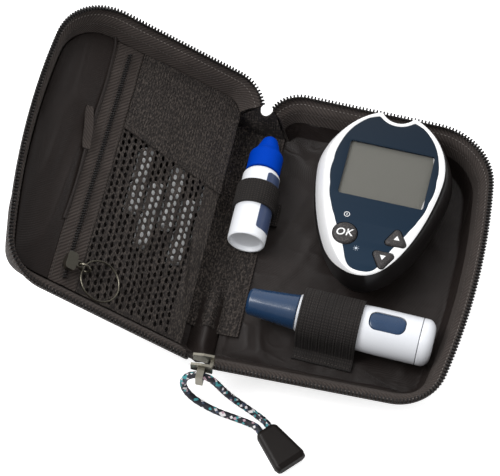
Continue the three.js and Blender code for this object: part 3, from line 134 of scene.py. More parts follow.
def grid_faces(rows: int, columns: int, wrap_rows: bool, wrap_columns: bool) -> tuple:
    """Quads of a grid of points, with the places of each quad's corners in the unwrapped grid.

    Args:
        rows: Number of points along the first parameter.
        columns: Number of points along the second parameter.
        wrap_rows: Whether the last row joins the first.
        wrap_columns: Whether the last column joins the first.

    Returns:
        Faces as point numbers, and the row and column of every corner before wrapping.
    """
    i, j = np.meshgrid(
        np.arange(rows if wrap_rows else rows - 1),
        np.arange(columns if wrap_columns else columns - 1),
        indexing="ij",
    )
    i, j = i.ravel(), j.ravel()
    corner_rows = np.stack([i, i + 1, i + 1, i], 1)
    corner_columns = np.stack([j, j, j + 1, j + 1], 1)
    faces = (corner_rows % rows) * columns + corner_columns % columns
    return faces, corner_rows, corner_columns


def signed_volume(points: np.ndarray, faces: list) -> float:
    """Six times the volume that the faces enclose, summed over fans from each face's first corner."""
    total = 0.0
    sizes = {len(face) for face in faces}
    for size in sizes:
        group = np.array([face for face in faces if len(face) == size])
        first = points[group[:, 0]]
        for k in range(1, size - 1):
            cross = np.cross(points[group[:, k]], points[group[:, k + 1]])
            total += float(np.einsum("ij,ij->", first, cross))
    return total


def new_piece(name: str, points: np.ndarray, faces: list, seat: Seat, finish: "Finish",
              uv: np.ndarray | None = None, sharp: float = 40.0) -> bpy.types.Object:
    """Makes one mesh object, its doubles merged and its faces turned outwards.

    Args:
        name: The piece's name.
        points: Points in the seat's frame, in millimetres.
        faces: Faces as lists of point numbers, round a closed volume.
        seat: Where the frame sits.
        finish: The piece's finish.
        uv: One pair for each corner of each face, in millimetres along the surface.
        sharp: Edges that bend by more than this many degrees stay sharp.

    Returns:
        The object.
    """
    flat = seat(points).reshape(-1, 3)
    mesh = bpy.data.meshes.new(name)
    mesh.from_pydata(flat.tolist(), [], faces)
    if uv is not None:
        layer = mesh.uv_layers.new(name="surface")
        layer.data.foreach_set("uv", np.asarray(uv, np.float32).ravel())
    edit = bmesh.new()
    edit.from_mesh(mesh)
    bmesh.ops.remove_doubles(edit, verts=edit.verts, dist=MERGE)
    bmesh.ops.dissolve_degenerate(edit, edges=edit.edges, dist=1e-7)
    if signed_volume(flat - flat.mean(0), faces) < 0:
        bmesh.ops.reverse_faces(edit, faces=edit.faces)
    edit.to_mesh(mesh)
    edit.free()
    mesh.polygons.foreach_set("use_smooth", np.ones(len(mesh.polygons), bool))
    mesh.set_sharp_from_angle(angle=math.radians(sharp))
    mesh.materials.append(finish.material())
    return linked(name, mesh)


def grid_piece(name: str, points: np.ndarray, seat: Seat, finish: "Finish", wrap: tuple = (False, True),
               uv: np.ndarray | None = None, caps: bool = False, sharp: float = 40.0) -> bpy.types.Object:
    """Makes a closed surface from a grid of points that are a function of two parameters.

    Args:
        name: The piece's name.
        points: Grid of points, rows by columns by 3, in millimetres in the seat's frame.
        seat: Where the frame sits.
        finish: The piece's finish.
        wrap: Whether rows and columns close on themselves.
        uv: Grid of surface lengths in millimetres, one longer than points where it wraps.
        caps: Whether the first and last row are each closed by one face.
        sharp: Edges that bend by more than this many degrees stay sharp.

    Returns:
        The object.
    """
    rows, columns = points.shape[:2]
    faces, corner_rows, corner_columns = grid_faces(rows, columns, *wrap)
    if uv is None:
        uv = surface_lengths(walked(points[:, 0]), walked(points[rows // 2]))
    corner_uv = uv[corner_rows, corner_columns].reshape(-1, 2)
    all_faces = faces.tolist()
    if caps:
        all_faces += [list(range(columns))[::-1], list(range((rows - 1) * columns, rows * columns))]
        corner_uv = np.vstack([corner_uv, np.zeros((2 * columns, 2))])
    return new_piece(name, points, all_faces, seat, finish, corner_uv, sharp)


def walked(line: np.ndarray) -> np.ndarray:
    """Length walked along a line at each of its points, and one millimetre more for where it closes."""
    return np.cumsum(np.r_[0, np.linalg.norm(np.diff(line, axis=0), axis=1), 1])


def surface_lengths(along: np.ndarray, across: np.ndarray) -> np.ndarray:
    """A grid of pairs from the lengths along its rows and across them."""
    return np.stack(np.meshgrid(along, across, indexing="ij"), -1)


def both_faces(upper: np.ndarray, lower: np.ndarray) -> np.ndarray:
    """One loop round a sheet for each row: over its upper face and back along its lower one."""
    return np.concatenate([upper, lower[:, ::-1]], 1)


def layered(x: np.ndarray, y: np.ndarray, high: np.ndarray, low: np.ndarray) -> np.ndarray:
    """The loops round a sheet whose two faces lie at these heights over a grid of places."""
    x, y, high, low = np.broadcast_arrays(x, y, high, low)
    return both_faces(np.stack([x, y, high], -1), np.stack([x, y, low], -1))


def lathe_piece(name: str, profile: list, seat: Seat, finish: "Finish",
                sides: int = 64, sharp: float = 40.0) -> bpy.types.Object:
    """Turns a profile about the Y axis: a point at radius r and height y goes to (r cos a, y, r sin a).

    Args:
        name: The piece's name.
        profile: Pairs of radius and height in millimetres, once round the solid's half section.
        seat: Where the frame sits.
        finish: The piece's finish.
        sides: Facets round the axis.
        sharp: Edges that bend by more than this many degrees stay sharp.

    Returns:
        The object.
    """
    radius, height = np.array(profile, float).T
    angle = np.arange(sides) * FULL_TURN / sides
    level = np.broadcast_to(height[:, None], (len(radius), sides))
    points = np.stack([radius[:, None] * np.cos(angle), level, radius[:, None] * np.sin(angle)], -1)
    along = np.cumsum(np.r_[0, np.hypot(np.diff(radius), np.diff(height))])
    across = np.arange(sides + 1) * FULL_TURN / sides * radius.max()
    return grid_piece(name, points, seat, finish, uv=surface_lengths(along, across), sharp=sharp)


def rounded(profile: list, radius: float, steps: int = 4) -> list:
    """Rounds the corners of an open profile: each corner is replaced by a quadratic curve between
    two points a radius away from it, or a third of the shorter side.

    Args:
        profile: Pairs of numbers.
        radius: How far from a corner its curve starts.
        steps: Parts that each curve is made of.

    Returns:
        The longer list of pairs.
    """
    points = np.array(profile, float)
    before, corner, after = points[:-2], points[1:-1], points[2:]
    back = np.linalg.norm(before - corner, axis=1)
    ahead = np.linalg.norm(after - corner, axis=1)
    reach = np.minimum(radius, np.minimum(back, ahead) / 3)[:, None]
    start = corner + (before - corner) / back[:, None] * reach
    end = corner + (after - corner) / ahead[:, None] * reach
    t = np.linspace(0, 1, steps + 1)[None, :, None]
    curve = start[:, None] * (1 - t) ** 2 + 2 * corner[:, None] * t * (1 - t) + end[:, None] * t ** 2
    return np.vstack([points[:1], curve.reshape(-1, 2), points[-1:]]).tolist()


def repeated_piece(name: str, shape: tuple, frames: np.ndarray, origins: np.ndarray, seat: Seat,
                   finish: "Finish", sharp: float = 50.0) -> bpy.types.Object:
    """Makes one mesh of many copies of a small shape: each copy's points are its origin plus the
    shape's points in its own axes.

    Args:
        name: The piece's name.
        shape: The small shape's points, k by 3, and its faces, all with four corners.
        frames: One 3 by 3 matrix for each copy, whose rows are its axes.
        origins: One place for each copy.
        seat: Where the frame sits.
        finish: The piece's finish.
        sharp: Edges that bend by more than this many degrees stay sharp.

    Returns:
        The object.
    """
    template, faces = shape
    points = origins[:, None, :] + np.einsum("kj,njc->nkc", template, frames)
    step = np.arange(len(origins))[:, None, None] * len(template)
    numbered = (np.array(faces)[None] + step).reshape(-1, len(faces[0]))
    return new_piece(name, points, numbered.tolist(), seat, finish, None, sharp)


def bead(length: float, width: float, height: float, rings: int = 5, sides: int = 8) -> tuple:
    """A rounded bead along its first axis: rings whose size follows a half circle's sine.

    Args:
        length: Its length.
        width: Its width.
        height: Its height.
        rings: Rings along it, the ends among them.
        sides: Facets round it.

    Returns:
        Points and four-cornered faces.
    """
    turn = np.linspace(0.12, math.pi - 0.12, rings)[:, None]
    angle = np.arange(sides)[None] * FULL_TURN / sides
    points = np.stack([
        np.broadcast_to(-np.cos(turn) * length / 2, (rings, sides)),
        np.sin(turn) * np.cos(angle) * width / 2, np.sin(turn) * np.sin(angle) * height / 2,
    ], -1).reshape(-1, 3)
    faces = grid_faces(rings, sides, False, True)[0].tolist()
    half = sides // 2
    last = (rings - 1) * sides
    for k in range(half - 1):
        faces.append([k, k + 1, sides - 2 - k, sides - 1 - k])
        faces.append([last + sides - 1 - k, last + sides - 2 - k, last + k + 1, last + k])
    return points, faces


def smooth_table(places: tuple, values: tuple, at: np.ndarray) -> np.ndarray:
    """A smooth curve through a table: cubic between its rows, with slopes that never overshoot.

    Args:
        places: Rising places.
        values: The value at each place.
        at: Where the curve is wanted.

    Returns:
        The values there.
    """
    x, y = np.array(places, float), np.array(values, float)
    width = np.diff(x)
    rise = np.diff(y) / width
    inner = np.where(rise[:-1] * rise[1:] > 0, 2 * rise[:-1] * rise[1:] / (rise[:-1] + rise[1:] + 1e-12), 0)
    slope = np.r_[rise[0], inner, rise[-1]]
    k = np.clip(np.searchsorted(x, at, side="right") - 1, 0, len(x) - 2)
    t = np.clip((at - x[k]) / width[k], 0, 1)
    return ((1 + 2 * t) * (1 - t) ** 2 * y[k] + t * (1 - t) ** 2 * width[k] * slope[k]
            + t * t * (3 - 2 * t) * y[k + 1] + t * t * (t - 1) * width[k] * slope[k + 1])


def ripple(points: np.ndarray, wavelength: float, seed: int, stretch: tuple = (1.0, 1.0, 1.0)) -> np.ndarray:
    """Soft unevenness between about -1 and 1: a sum of twelve sine waves in seeded directions, with
    lengths from 0.7 to 1.6 times the given one.

    Args:
        points: Points in millimetres.
        wavelength: Middle length of the waves.
        seed: Seed of their directions.
        stretch: How much longer the waves are along each axis.

    Returns:
        One value for each point.
    """
    draw = np.random.default_rng(seed)
    total = np.zeros(points.shape[:-1])
    for _ in range(12):
        direction = draw.normal(size=3)
        direction /= np.linalg.norm(direction)
        pace = FULL_TURN / (wavelength * draw.uniform(0.7, 1.6))
        total += np.sin((points / np.array(stretch)) @ direction * pace + draw.uniform(0, FULL_TURN))
    return total / 3.5


def creases(points: np.ndarray, wavelength: float, seed: int, stretch: tuple = (1.0, 1.0, 1.0)) -> np.ndarray:
    """Narrow ridges from 0 to 1 along the lines where ripple() passes zero, as in crumpled cloth."""
    return np.exp(-(ripple(points, wavelength, seed, stretch) / 0.22) ** 2)


def modifier(piece: bpy.types.Object, kind: str, **settings: object) -> None:
    """Adds one modifier with its settings to a piece."""
    made = piece.modifiers.new(kind.lower(), kind)
    for key, value in settings.items():
        setattr(made, key, value)


def evaluated(piece: bpy.types.Object) -> bpy.types.Mesh:
    """The mesh that an object gives with its modifiers or as a curve."""
    bpy.context.view_layer.update()
    return bpy.data.meshes.new_from_object(piece.evaluated_get(bpy.context.evaluated_depsgraph_get()))


def curve_mesh(curve: bpy.types.Curve) -> tuple:
    """Turns a curve into points and faces."""
    holder = linked(curve.name, curve)
    mesh = evaluated(holder)
    points = np.zeros(len(mesh.vertices) * 3)
    mesh.vertices.foreach_get("co", points)
    bpy.data.objects.remove(holder)
    return points.reshape(-1, 3), [list(face.vertices) for face in mesh.polygons]


def filled(outlines: list, thickness: float, bevel: float = 0.0) -> tuple:
    """Fills a flat outline with holes, and gives it a thickness, half upwards and half downwards.

    Args:
        outlines: The outline, then the holes, each an array of x and y in millimetres.
        thickness: Thickness of the sheet.
        bevel: Rounding of its edges.

    Returns:
        Points in millimetres and faces.
    """
    curve = bpy.data.curves.new("sheet.outline", "CURVE")
    curve.dimensions, curve.fill_mode = "2D", "BOTH"
    curve.extrude = thickness / 2 - bevel
    curve.bevel_depth, curve.bevel_resolution = bevel, 2
    for outline in outlines:
        spline = curve.splines.new("POLY")
        spline.points.add(len(outline) - 1)
        spline.points.foreach_set("co", np.c_[outline, np.zeros(len(outline)), np.ones(len(outline))].ravel())
        spline.use_cyclic_u = True
    return curve_mesh(curve)


def flat_piece(name: str, outlines: list, low: float, high: float, seat: Seat, finish: "Finish",
               bevel: float = 0.0) -> bpy.types.Object:
    """A flat plate: the first outline filled, with the others as holes, between two levels.

    Args:
        name: The piece's name.
        outlines: Closed outlines, each an array of x and y in millimetres.
        low: Lower level.
        high: Upper level.
        seat: Where the frame sits.
        finish: The piece's finish.
        bevel: Rounding of its edges.

    Returns:
        The object.
    """
    points, faces = filled(outlines, high - low, bevel)
    return new_piece(name, points + (0, 0, (low + high) / 2), faces, seat, finish, None, 30.0)


def cut(piece: bpy.types.Object, outline: np.ndarray, low: float, high: float, seat: Seat, sharp: float) -> None:
    """Cuts an opening through a piece between two levels, and finds its sharp edges again."""
    cutter = flat_piece("opening", [outline], low, high, seat, BLACK_GLOSS)
    modifier(piece, "BOOLEAN", operation="DIFFERENCE", object=cutter, solver="EXACT")
    mesh = evaluated(piece)
    piece.modifiers.clear()
    piece.data = mesh
    bpy.data.objects.remove(cutter)
    mesh.set_sharp_from_angle(angle=math.radians(sharp))


def circle(x: float, y: float, radius: float, sides: int = 48) -> np.ndarray:
    """Points round a circle."""
    angle = np.arange(sides) * FULL_TURN / sides
    return np.stack([x + radius * np.cos(angle), y + radius * np.sin(angle)], -1)


def rounded_rectangle(x: float, y: float, width: float, height: float, corner: float) -> np.ndarray:
    """Points round a rectangle whose corners are quarter circles."""
    quarter = np.linspace(0, math.pi / 2, 7)
    arcs = []
    for k, (sx, sy) in enumerate([(1, 1), (-1, 1), (-1, -1), (1, -1)]):
        centre = (x + sx * (width / 2 - corner), y + sy * (height / 2 - corner))
        turn = quarter + k * math.pi / 2
        arcs.append(np.stack([centre[0] + corner * np.cos(turn), centre[1] + corner * np.sin(turn)], -1))
    return np.vstack(arcs)


def tube_piece(name: str, path: np.ndarray, radius: float, seat: Seat, finish: "Finish",
               reference: tuple = (0.0, 0.0, 1.0), sides: int = 8, wrap: bool = False,
               swell: np.ndarray | float = 0.0) -> bpy.types.Object:
    """A tube round a path: each ring lies across the path's direction, turned from a fixed reference.

    Args:
        name: The piece's name.
        path: Points of its centre line in millimetres.
        radius: The tube's radius.
        seat: Where the frame sits.
        finish: The piece's finish.
        reference: A direction that the path never takes.
        sides: Facets round the tube.
        wrap: Whether the path closes on itself.
        swell: Share by which each point of each ring is further out, rows by sides.

    Returns:
        The object.
    """
    ahead = np.roll(path, -1, 0) - np.roll(path, 1, 0) if wrap else np.gradient(path, axis=0)
    ahead /= np.linalg.norm(ahead, axis=1, keepdims=True)
    side = np.cross(ahead, np.array(reference))
    side /= np.linalg.norm(side, axis=1, keepdims=True)
    lift = np.cross(side, ahead)
    angle = np.arange(sides) * FULL_TURN / sides
    ring = side[:, None] * np.cos(angle)[None, :, None] + lift[:, None] * np.sin(angle)[None, :, None]
    reach = np.broadcast_to(radius * (1 + np.asarray(swell)), ring.shape[:2])
    uv = surface_lengths(walked(path), np.arange(sides + 1) * FULL_TURN / sides * radius)
    return grid_piece(name, path[:, None] + ring * reach[..., None], seat, finish, (wrap, True), uv, caps=not wrap)


# Finishes

def linear(colour: str, alpha: float = 1.0) -> tuple:
    """Turns an sRGB hex colour into linear values, by the standard's two-part curve."""
    parts = [int(colour[k:k + 2], 16) / 255 for k in (1, 3, 5)]
    return tuple(c / 12.92 if c <= 0.04045 else ((c + 0.055) / 1.055) ** 2.4 for c in parts) + (alpha,)


class Nodes:
    """The nodes of one material or world, added one after another to a tree that starts empty."""

    def __init__(self, owner: bpy.types.ID) -> None:
        """Empties the tree of a new material or world."""
        owner.use_nodes = True
        self.tree = owner.node_tree
        self.tree.nodes.clear()

    def add(self, kind: str, inputs: dict | None = None, **settings: object) -> bpy.types.Node:
        """Adds one node, with its settings and what goes into each of its inputs.

        Args:
            kind: The node's type, without the ShaderNode that all of them begin with.
            inputs: For each input, by name or number, a value or another node's output.
            settings: The node's own settings.

        Returns:
            The node.
        """
        node = self.tree.nodes.new("ShaderNode" + kind)
        for key, value in settings.items():
            setattr(node, key, value)
        for key, value in (inputs or {}).items():
            if isinstance(value, bpy.types.NodeSocket):
                self.tree.links.new(value, node.inputs[key])
            else:
                node.inputs[key].default_value = value
        return node

    def math(self, kind: str, a: object, b: object) -> bpy.types.NodeSocket:
        """One sum of two values or outputs, by the Math node's own name for it."""
        return self.add("Math", {0: a, 1: b}, operation=kind).outputs[0]

    def mapped(self, value: bpy.types.NodeSocket, source: tuple = (0.0, 1.0),
               target: tuple = (0.0, 1.0)) -> bpy.types.NodeSocket:
        """Maps one range of a value onto another, and keeps it inside that."""
        return self.add("MapRange", {
            "Value": value, "From Min": source[0], "From Max": source[1], "To Min": target[0], "To Max": target[1],
        }).outputs[0]

    def wave(self, vector: bpy.types.NodeSocket, direction: str, pitch: float,
             distortion: float = 0.0) -> bpy.types.NodeSocket:
        """Bands of a given pitch in millimetres across one direction; a wave texture at scale s has
        20 s / (2 pi) bands to the unit."""
        return self.add("TexWave", {
            "Vector": vector, "Scale": FULL_TURN / 20 / pitch, "Distortion": distortion, "Detail": 1.0,
            "Detail Scale": 0.6,
        }, wave_type="BANDS", bands_direction=direction, wave_profile="SIN").outputs["Fac"]

    def noise(self, vector: bpy.types.NodeSocket, size: float, detail: float = 2.0) -> bpy.types.NodeSocket:
        """Noise whose grains are about as wide as the given size in millimetres."""
        inputs = {"Vector": vector, "Scale": 1 / size, "Detail": detail, "Roughness": 0.6}
        return self.add("TexNoise", inputs).outputs["Fac"]

    def stretched(self, vector: bpy.types.NodeSocket, scale: tuple) -> bpy.types.NodeSocket:
        """A place whose axes are scaled."""
        return self.add("Mapping", {"Vector": vector, "Scale": scale}).outputs[0]


class Pattern(Enum):
    """How a surface was made, which sets its colour variation and its relief."""

    SMOOTH = "moulded smooth"
    GRAIN = "moulded with a fine grain"
    FLECKED = "rubber with light flecks"
    WOVEN = "plain woven nylon"
    SATIN = "satin weave"
    TWILL = "twill tape"
    RIBBED = "ribbed elastic"
    KNIT = "warp knit"
    BRAID = "braid with coloured flecks"
    BRUSHED = "drawn metal"
    WORN = "plated metal, worn"
    BLEND = "printed, with a soft change of colour"


@dataclass(frozen=True)
class Finish:
    """One finish: what it is made of, its colours and how it takes the light."""

    name: str
    pattern: Pattern
    colour: str
    second: str
    roughness: float
    metallic: float = 0.0
    pitch: float = 1.0
    relief: float = 0.1
    ior: float = 1.5
    sheen: float = 0.0
    coat: float = 0.0
    alpha: float = 1.0
    variation: float = 0.5

    def height(self, nodes: Nodes, surface: bpy.types.NodeSocket, space: bpy.types.NodeSocket) -> bpy.types.NodeSocket:
        """The relief of the pattern, from 0 to 1.

        Args:
            nodes: The material's nodes.
            surface: Millimetres along the surface.
            space: Millimetres in the row frame.

        Returns:
            The output that carries it.
        """
        if self.pattern is Pattern.WOVEN:
            threads = nodes.math("MAXIMUM", nodes.wave(space, "X", self.pitch), nodes.wave(space, "Y", self.pitch))
            return nodes.math("ADD", threads, nodes.noise(space, self.pitch * 0.9))
        if self.pattern in (Pattern.TWILL, Pattern.SATIN):
            return nodes.wave(surface, "DIAGONAL", self.pitch, 0.6)
        if self.pattern is Pattern.RIBBED:
            ribs = nodes.wave(surface, "Y", self.pitch)
            return nodes.math("MULTIPLY", ribs, nodes.wave(surface, "X", self.pitch * 0.8))
        if self.pattern is Pattern.KNIT:
            loops = nodes.wave(surface, "X", self.pitch, 1.5)
            return nodes.math("MULTIPLY", loops, nodes.wave(surface, "Y", self.pitch * 1.4, 1.0))
        if self.pattern is Pattern.BRUSHED:
            return nodes.noise(nodes.stretched(space, (1, 12, 12)), self.pitch, 4.0)
        return nodes.noise(space, self.pitch, 3.0)

    def tint(self, nodes: Nodes, relief: bpy.types.NodeSocket, surface: bpy.types.NodeSocket,
             space: bpy.types.NodeSocket) -> bpy.types.NodeSocket:
        """The colour, mixed from the finish's two colours by its pattern.

        Args:
            nodes: The material's nodes.
            relief: The pattern's relief.
            surface: Millimetres along the surface.
            space: Millimetres in the row frame.

        Returns:
            The output that carries it.
        """
        if self.pattern is Pattern.BRAID:
            return self.braid_tint(nodes, surface)
        if self.pattern in (Pattern.FLECKED, Pattern.WOVEN):
            share = nodes.mapped(nodes.noise(space, self.pitch * 1.1, 1.0), (0.52, 0.68))
        elif self.pattern is Pattern.KNIT:
            ticks = nodes.noise(nodes.stretched(space, (1, 0.35, 1)), self.pitch * 0.36, 1.0)
            share = nodes.mapped(ticks, (0.46, 0.7))
        elif self.pattern is Pattern.BLEND:
            share = nodes.mapped(nodes.add("SeparateXYZ", {0: space}).outputs["Y"], (-10.0, 60.0))
        else:
            share = nodes.math("MULTIPLY", relief, nodes.noise(space, self.pitch * 9))
        amount = nodes.math("MULTIPLY", share, self.variation)
        colours = {0: amount, 6: linear(self.colour), 7: linear(self.second)}
        return nodes.add("Mix", colours, data_type="RGBA").outputs[2]

    def braid_tint(self, nodes: Nodes, surface: bpy.types.NodeSocket) -> bpy.types.NodeSocket:
        """Strand colours of a braid: each diamond where two helical strands cross draws its own
        colour, mostly the dark one, now and then white, teal or rose."""
        along, around = (nodes.math("DIVIDE", part, self.pitch)
                         for part in nodes.add("SeparateXYZ", {0: surface}).outputs[:2])
        strands = [nodes.math("FLOOR", nodes.math(sign, along, around), 0.0) for sign in ("ADD", "SUBTRACT")]
        cell = nodes.add("CombineXYZ", {0: strands[0], 1: strands[1]}).outputs[0]
        draw = nodes.add("TexWhiteNoise", {"Vector": cell}, noise_dimensions="2D")
        ramp = nodes.add("ValToRGB", {"Fac": draw.outputs[0]})
        ramp.color_ramp.interpolation = "CONSTANT"
        stops = [(0.0, self.colour), (0.66, "#d9d6d8"), (0.78, self.second), (0.87, "#b89aa6"), (0.92, "#39445a")]
        for place, colour in stops:
            element = ramp.color_ramp.elements.new(place) if place else ramp.color_ramp.elements[0]
            element.color = linear(colour)
        ramp.color_ramp.elements.remove(ramp.color_ramp.elements[-1])
        return ramp.outputs[0]

    def material(self) -> bpy.types.Material:
        """Builds the material once, and returns it."""
        made = bpy.data.materials.get(self.name)
        if made:
            return made
        made = bpy.data.materials.new(self.name)
        nodes = Nodes(made)
        place = nodes.add("TexCoord").outputs
        surface = place["UV"]
        space = nodes.add("VectorMath", {0: place["Object"], "Scale": 1 / MM}, operation="SCALE").outputs[0]
        relief = self.height(nodes, surface, space)
        uneven = nodes.noise(space, self.pitch * 5)
        shader = nodes.add("BsdfPrincipled", {
            "Base Color": self.tint(nodes, relief, surface, space), "Metallic": self.metallic,
            "Coat Weight": self.coat, "Coat Roughness": 0.06, "Sheen Weight": self.sheen,
            "Sheen Roughness": 0.4, "Alpha": self.alpha,
            "Roughness": nodes.mapped(uneven, (0.0, 1.0), (self.roughness * 0.88, self.roughness * 1.12)),
        })
        if self.sheen:
            shader.inputs["Sheen Tint"].default_value = linear("#a79f9a")
        if not self.metallic:
            shader.inputs["IOR"].default_value = self.ior
        if self.relief:
            bump = nodes.add("Bump", {"Height": relief, "Distance": self.relief * MM, "Strength": 1.0})
            nodes.tree.links.new(bump.outputs[0], shader.inputs["Normal"])
        nodes.add("OutputMaterial", {0: shader.outputs[0]})
        return made


# Nylon pack cloth: a coarse weave of dark and brown-grey threads, drawn a little coarser than it is
SHELL_CLOTH = Finish("woven_nylon", Pattern.WOVEN, "#1b1614", "#5c524b", 0.85, pitch=1.1, relief=0.25, sheen=0.1)
# Polyester satin: dark, smooth, with a soft shine along its folds
LINING_SATIN = Finish("satin_lining", Pattern.SATIN, "#1e1816", "#302825", 0.48, pitch=0.6, relief=0.04,
                      ior=1.42, sheen=0.08)
# Cotton twill tape of the zips, dull with a faint diagonal
TWILL_TAPE = Finish("twill_tape", Pattern.TWILL, "#29221f", "#665c56", 0.85, pitch=0.9, relief=0.14, sheen=0.09)
# Acetal zip teeth, moulded, with a low shine
ZIP_TEETH = Finish("moulded_acetal", Pattern.SMOOTH, "#171515", "#262322", 0.38, pitch=0.8, relief=0.02)
# Sewing thread, light grey where it shows in the stitches
THREAD = Finish("sewing_thread", Pattern.SMOOTH, "#6f6965", "#8d8681", 0.8, pitch=0.4, relief=0.05)
# Dark thread of the seams inside
DARK_THREAD = Finish("dark_thread", Pattern.SMOOTH, "#403b38", "#504a46", 0.8, pitch=0.4, relief=0.05)
# Warp-knitted polyester mesh, matt
NET_KNIT = Finish("warp_knit_mesh", Pattern.KNIT, "#1b1614", "#5c534c", 0.82, pitch=1.3, relief=0.3, sheen=0.1)
# Rubber-cored elastic, its ribs drawn as coarse as they show
ELASTIC = Finish("ribbed_elastic", Pattern.RIBBED, "#151211", "#544a45", 0.88, pitch=1.3, relief=0.2, sheen=0.04)
# Knitted band over the spine, with small raised loops
SPINE_KNIT = Finish("knitted_band", Pattern.KNIT, "#1b1614", "#5f564f", 0.9, pitch=1.5, relief=0.4, sheen=0.08)
# Zinc slider with a worn olive-silver plating
SLIDER_METAL = Finish("plated_zinc", Pattern.WORN, "#9a968a", "#4f4b42", 0.34, 1.0, pitch=0.9, relief=0.03)
# Spring steel wire of the rings, plated, dulled by keys
RING_WIRE = Finish("plated_wire", Pattern.WORN, "#8d887b", "#4c483f", 0.36, 1.0, pitch=1.2, relief=0.02)
# Polyester braid, dark, with flecks of white, teal and rose
BRAID = Finish("polyester_braid", Pattern.BRAID, "#1b1d26", "#3d8f95", 0.7, pitch=1.6, relief=0.0, sheen=0.2)
# Soft PVC of the pull's end, moulded with a satin surface
PULL_PLASTIC = Finish("moulded_pvc", Pattern.GRAIN, "#120d0b", "#1c1614", 0.5, pitch=0.5, relief=0.03, ior=1.33)
# ABS painted silver: metal flake under a clear coat
SILVER_PAINT = Finish("silver_paint", Pattern.SMOOTH, "#f8f8f9", "#fbfbfb", 0.34, 0.1, pitch=5.0, relief=0.0, coat=0.3)
# Black standing for painted shade and painted dark reflection on the silver housing's side, where it turns from the
# light; satin
SHADED_SIDE_BLACK = Finish("painted_shade_black", Pattern.SMOOTH, "#171515", "#1f1d1c", 0.3, pitch=6.0, relief=0.0, ior=1.4)
# Gloss black ABS of the lower housing and cradle
BLACK_GLOSS = Finish("gloss_black_abs", Pattern.SMOOTH, "#1c1918", "#2b2725", 0.16, pitch=6.0, relief=0.0, coat=0.3)
# Acrylic face plate, printed navy on its back, slate at the top
NAVY_PLATE = Finish("navy_acrylic", Pattern.BLEND, "#15293b", "#0c0e12", 0.12, pitch=3.0, relief=0.0, ior=1.33)
# Clear acrylic window, seen as little more than its own shine
CLEAR_LENS = Finish("clear_acrylic", Pattern.SMOOTH, "#0c0e10", "#101214", 0.05, pitch=9.0, relief=0.0,
                    ior=1.49, alpha=0.14)
# Liquid crystal display, grey-green and even
DISPLAY = Finish("display_glass", Pattern.SMOOTH, "#7f7e77", "#85847d", 0.6, pitch=8.0, relief=0.0)
# Silicone rubber keys with light flecks
KEY_RUBBER = Finish("silicone_rubber", Pattern.FLECKED, "#2c2a2b", "#6d6764", 0.6, pitch=0.45, relief=0.05)
# White ink of the key marks
WHITE_INK = Finish("white_ink", Pattern.SMOOTH, "#f2f2f2", "#e6e6e6", 0.5, pitch=1.0, relief=0.0)
# Faint grey ink of the small marks on the plate
GREY_INK = Finish("grey_ink", Pattern.SMOOTH, "#b9c3cf", "#aab4c0", 0.5, pitch=1.0, relief=0.0)
# Glass-fibre board with green solder mask
BOARD = Finish("solder_mask", Pattern.GRAIN, "#1d5738", "#2c6c49", 0.45, pitch=0.6, relief=0.01)
# Plain steel of screws, cells and spring
STEEL = Finish("plain_steel", Pattern.BRUSHED, "#b9bbbe", "#86888b", 0.3, 1.0, pitch=0.5, relief=0.006)
# Polyethylene of the vial: white and slightly waxy
VIAL_WHITE = Finish("white_polyethylene", Pattern.GRAIN, "#eceef2", "#dcdfe6", 0.36, pitch=0.8, relief=0.01)
# Polyethylene of the lancets, white and bright
LANCET_WHITE = Finish("lancet_polyethylene", Pattern.GRAIN, "#fbfcfd", "#f2f4f7", 0.4, pitch=0.8, relief=0.01)
# Gloss white ABS of the lancing device
LANCER_WHITE = Finish("white_abs", Pattern.GRAIN, "#e6e8ed", "#d9dce3", 0.26, pitch=0.7, relief=0.006, coat=0.2)
# Polypropylene of the vial's cap, bright blue
CAP_BLUE = Finish("blue_polypropylene", Pattern.GRAIN, "#003aaa", "#0042b6", 0.5, pitch=0.7, relief=0.01, ior=1.12)
# Navy ABS of the lancing device's cap, lightly metallic
LANCER_NAVY = Finish("navy_abs", Pattern.GRAIN, "#1b3554", "#27496f", 0.28, pitch=0.6, relief=0.01, coat=0.4)
# Label film on the vial, navy, semi-gloss
LABEL_NAVY = Finish("label_film", Pattern.SMOOTH, "#3d4967", "#475777", 0.35, pitch=2.0, relief=0.0)


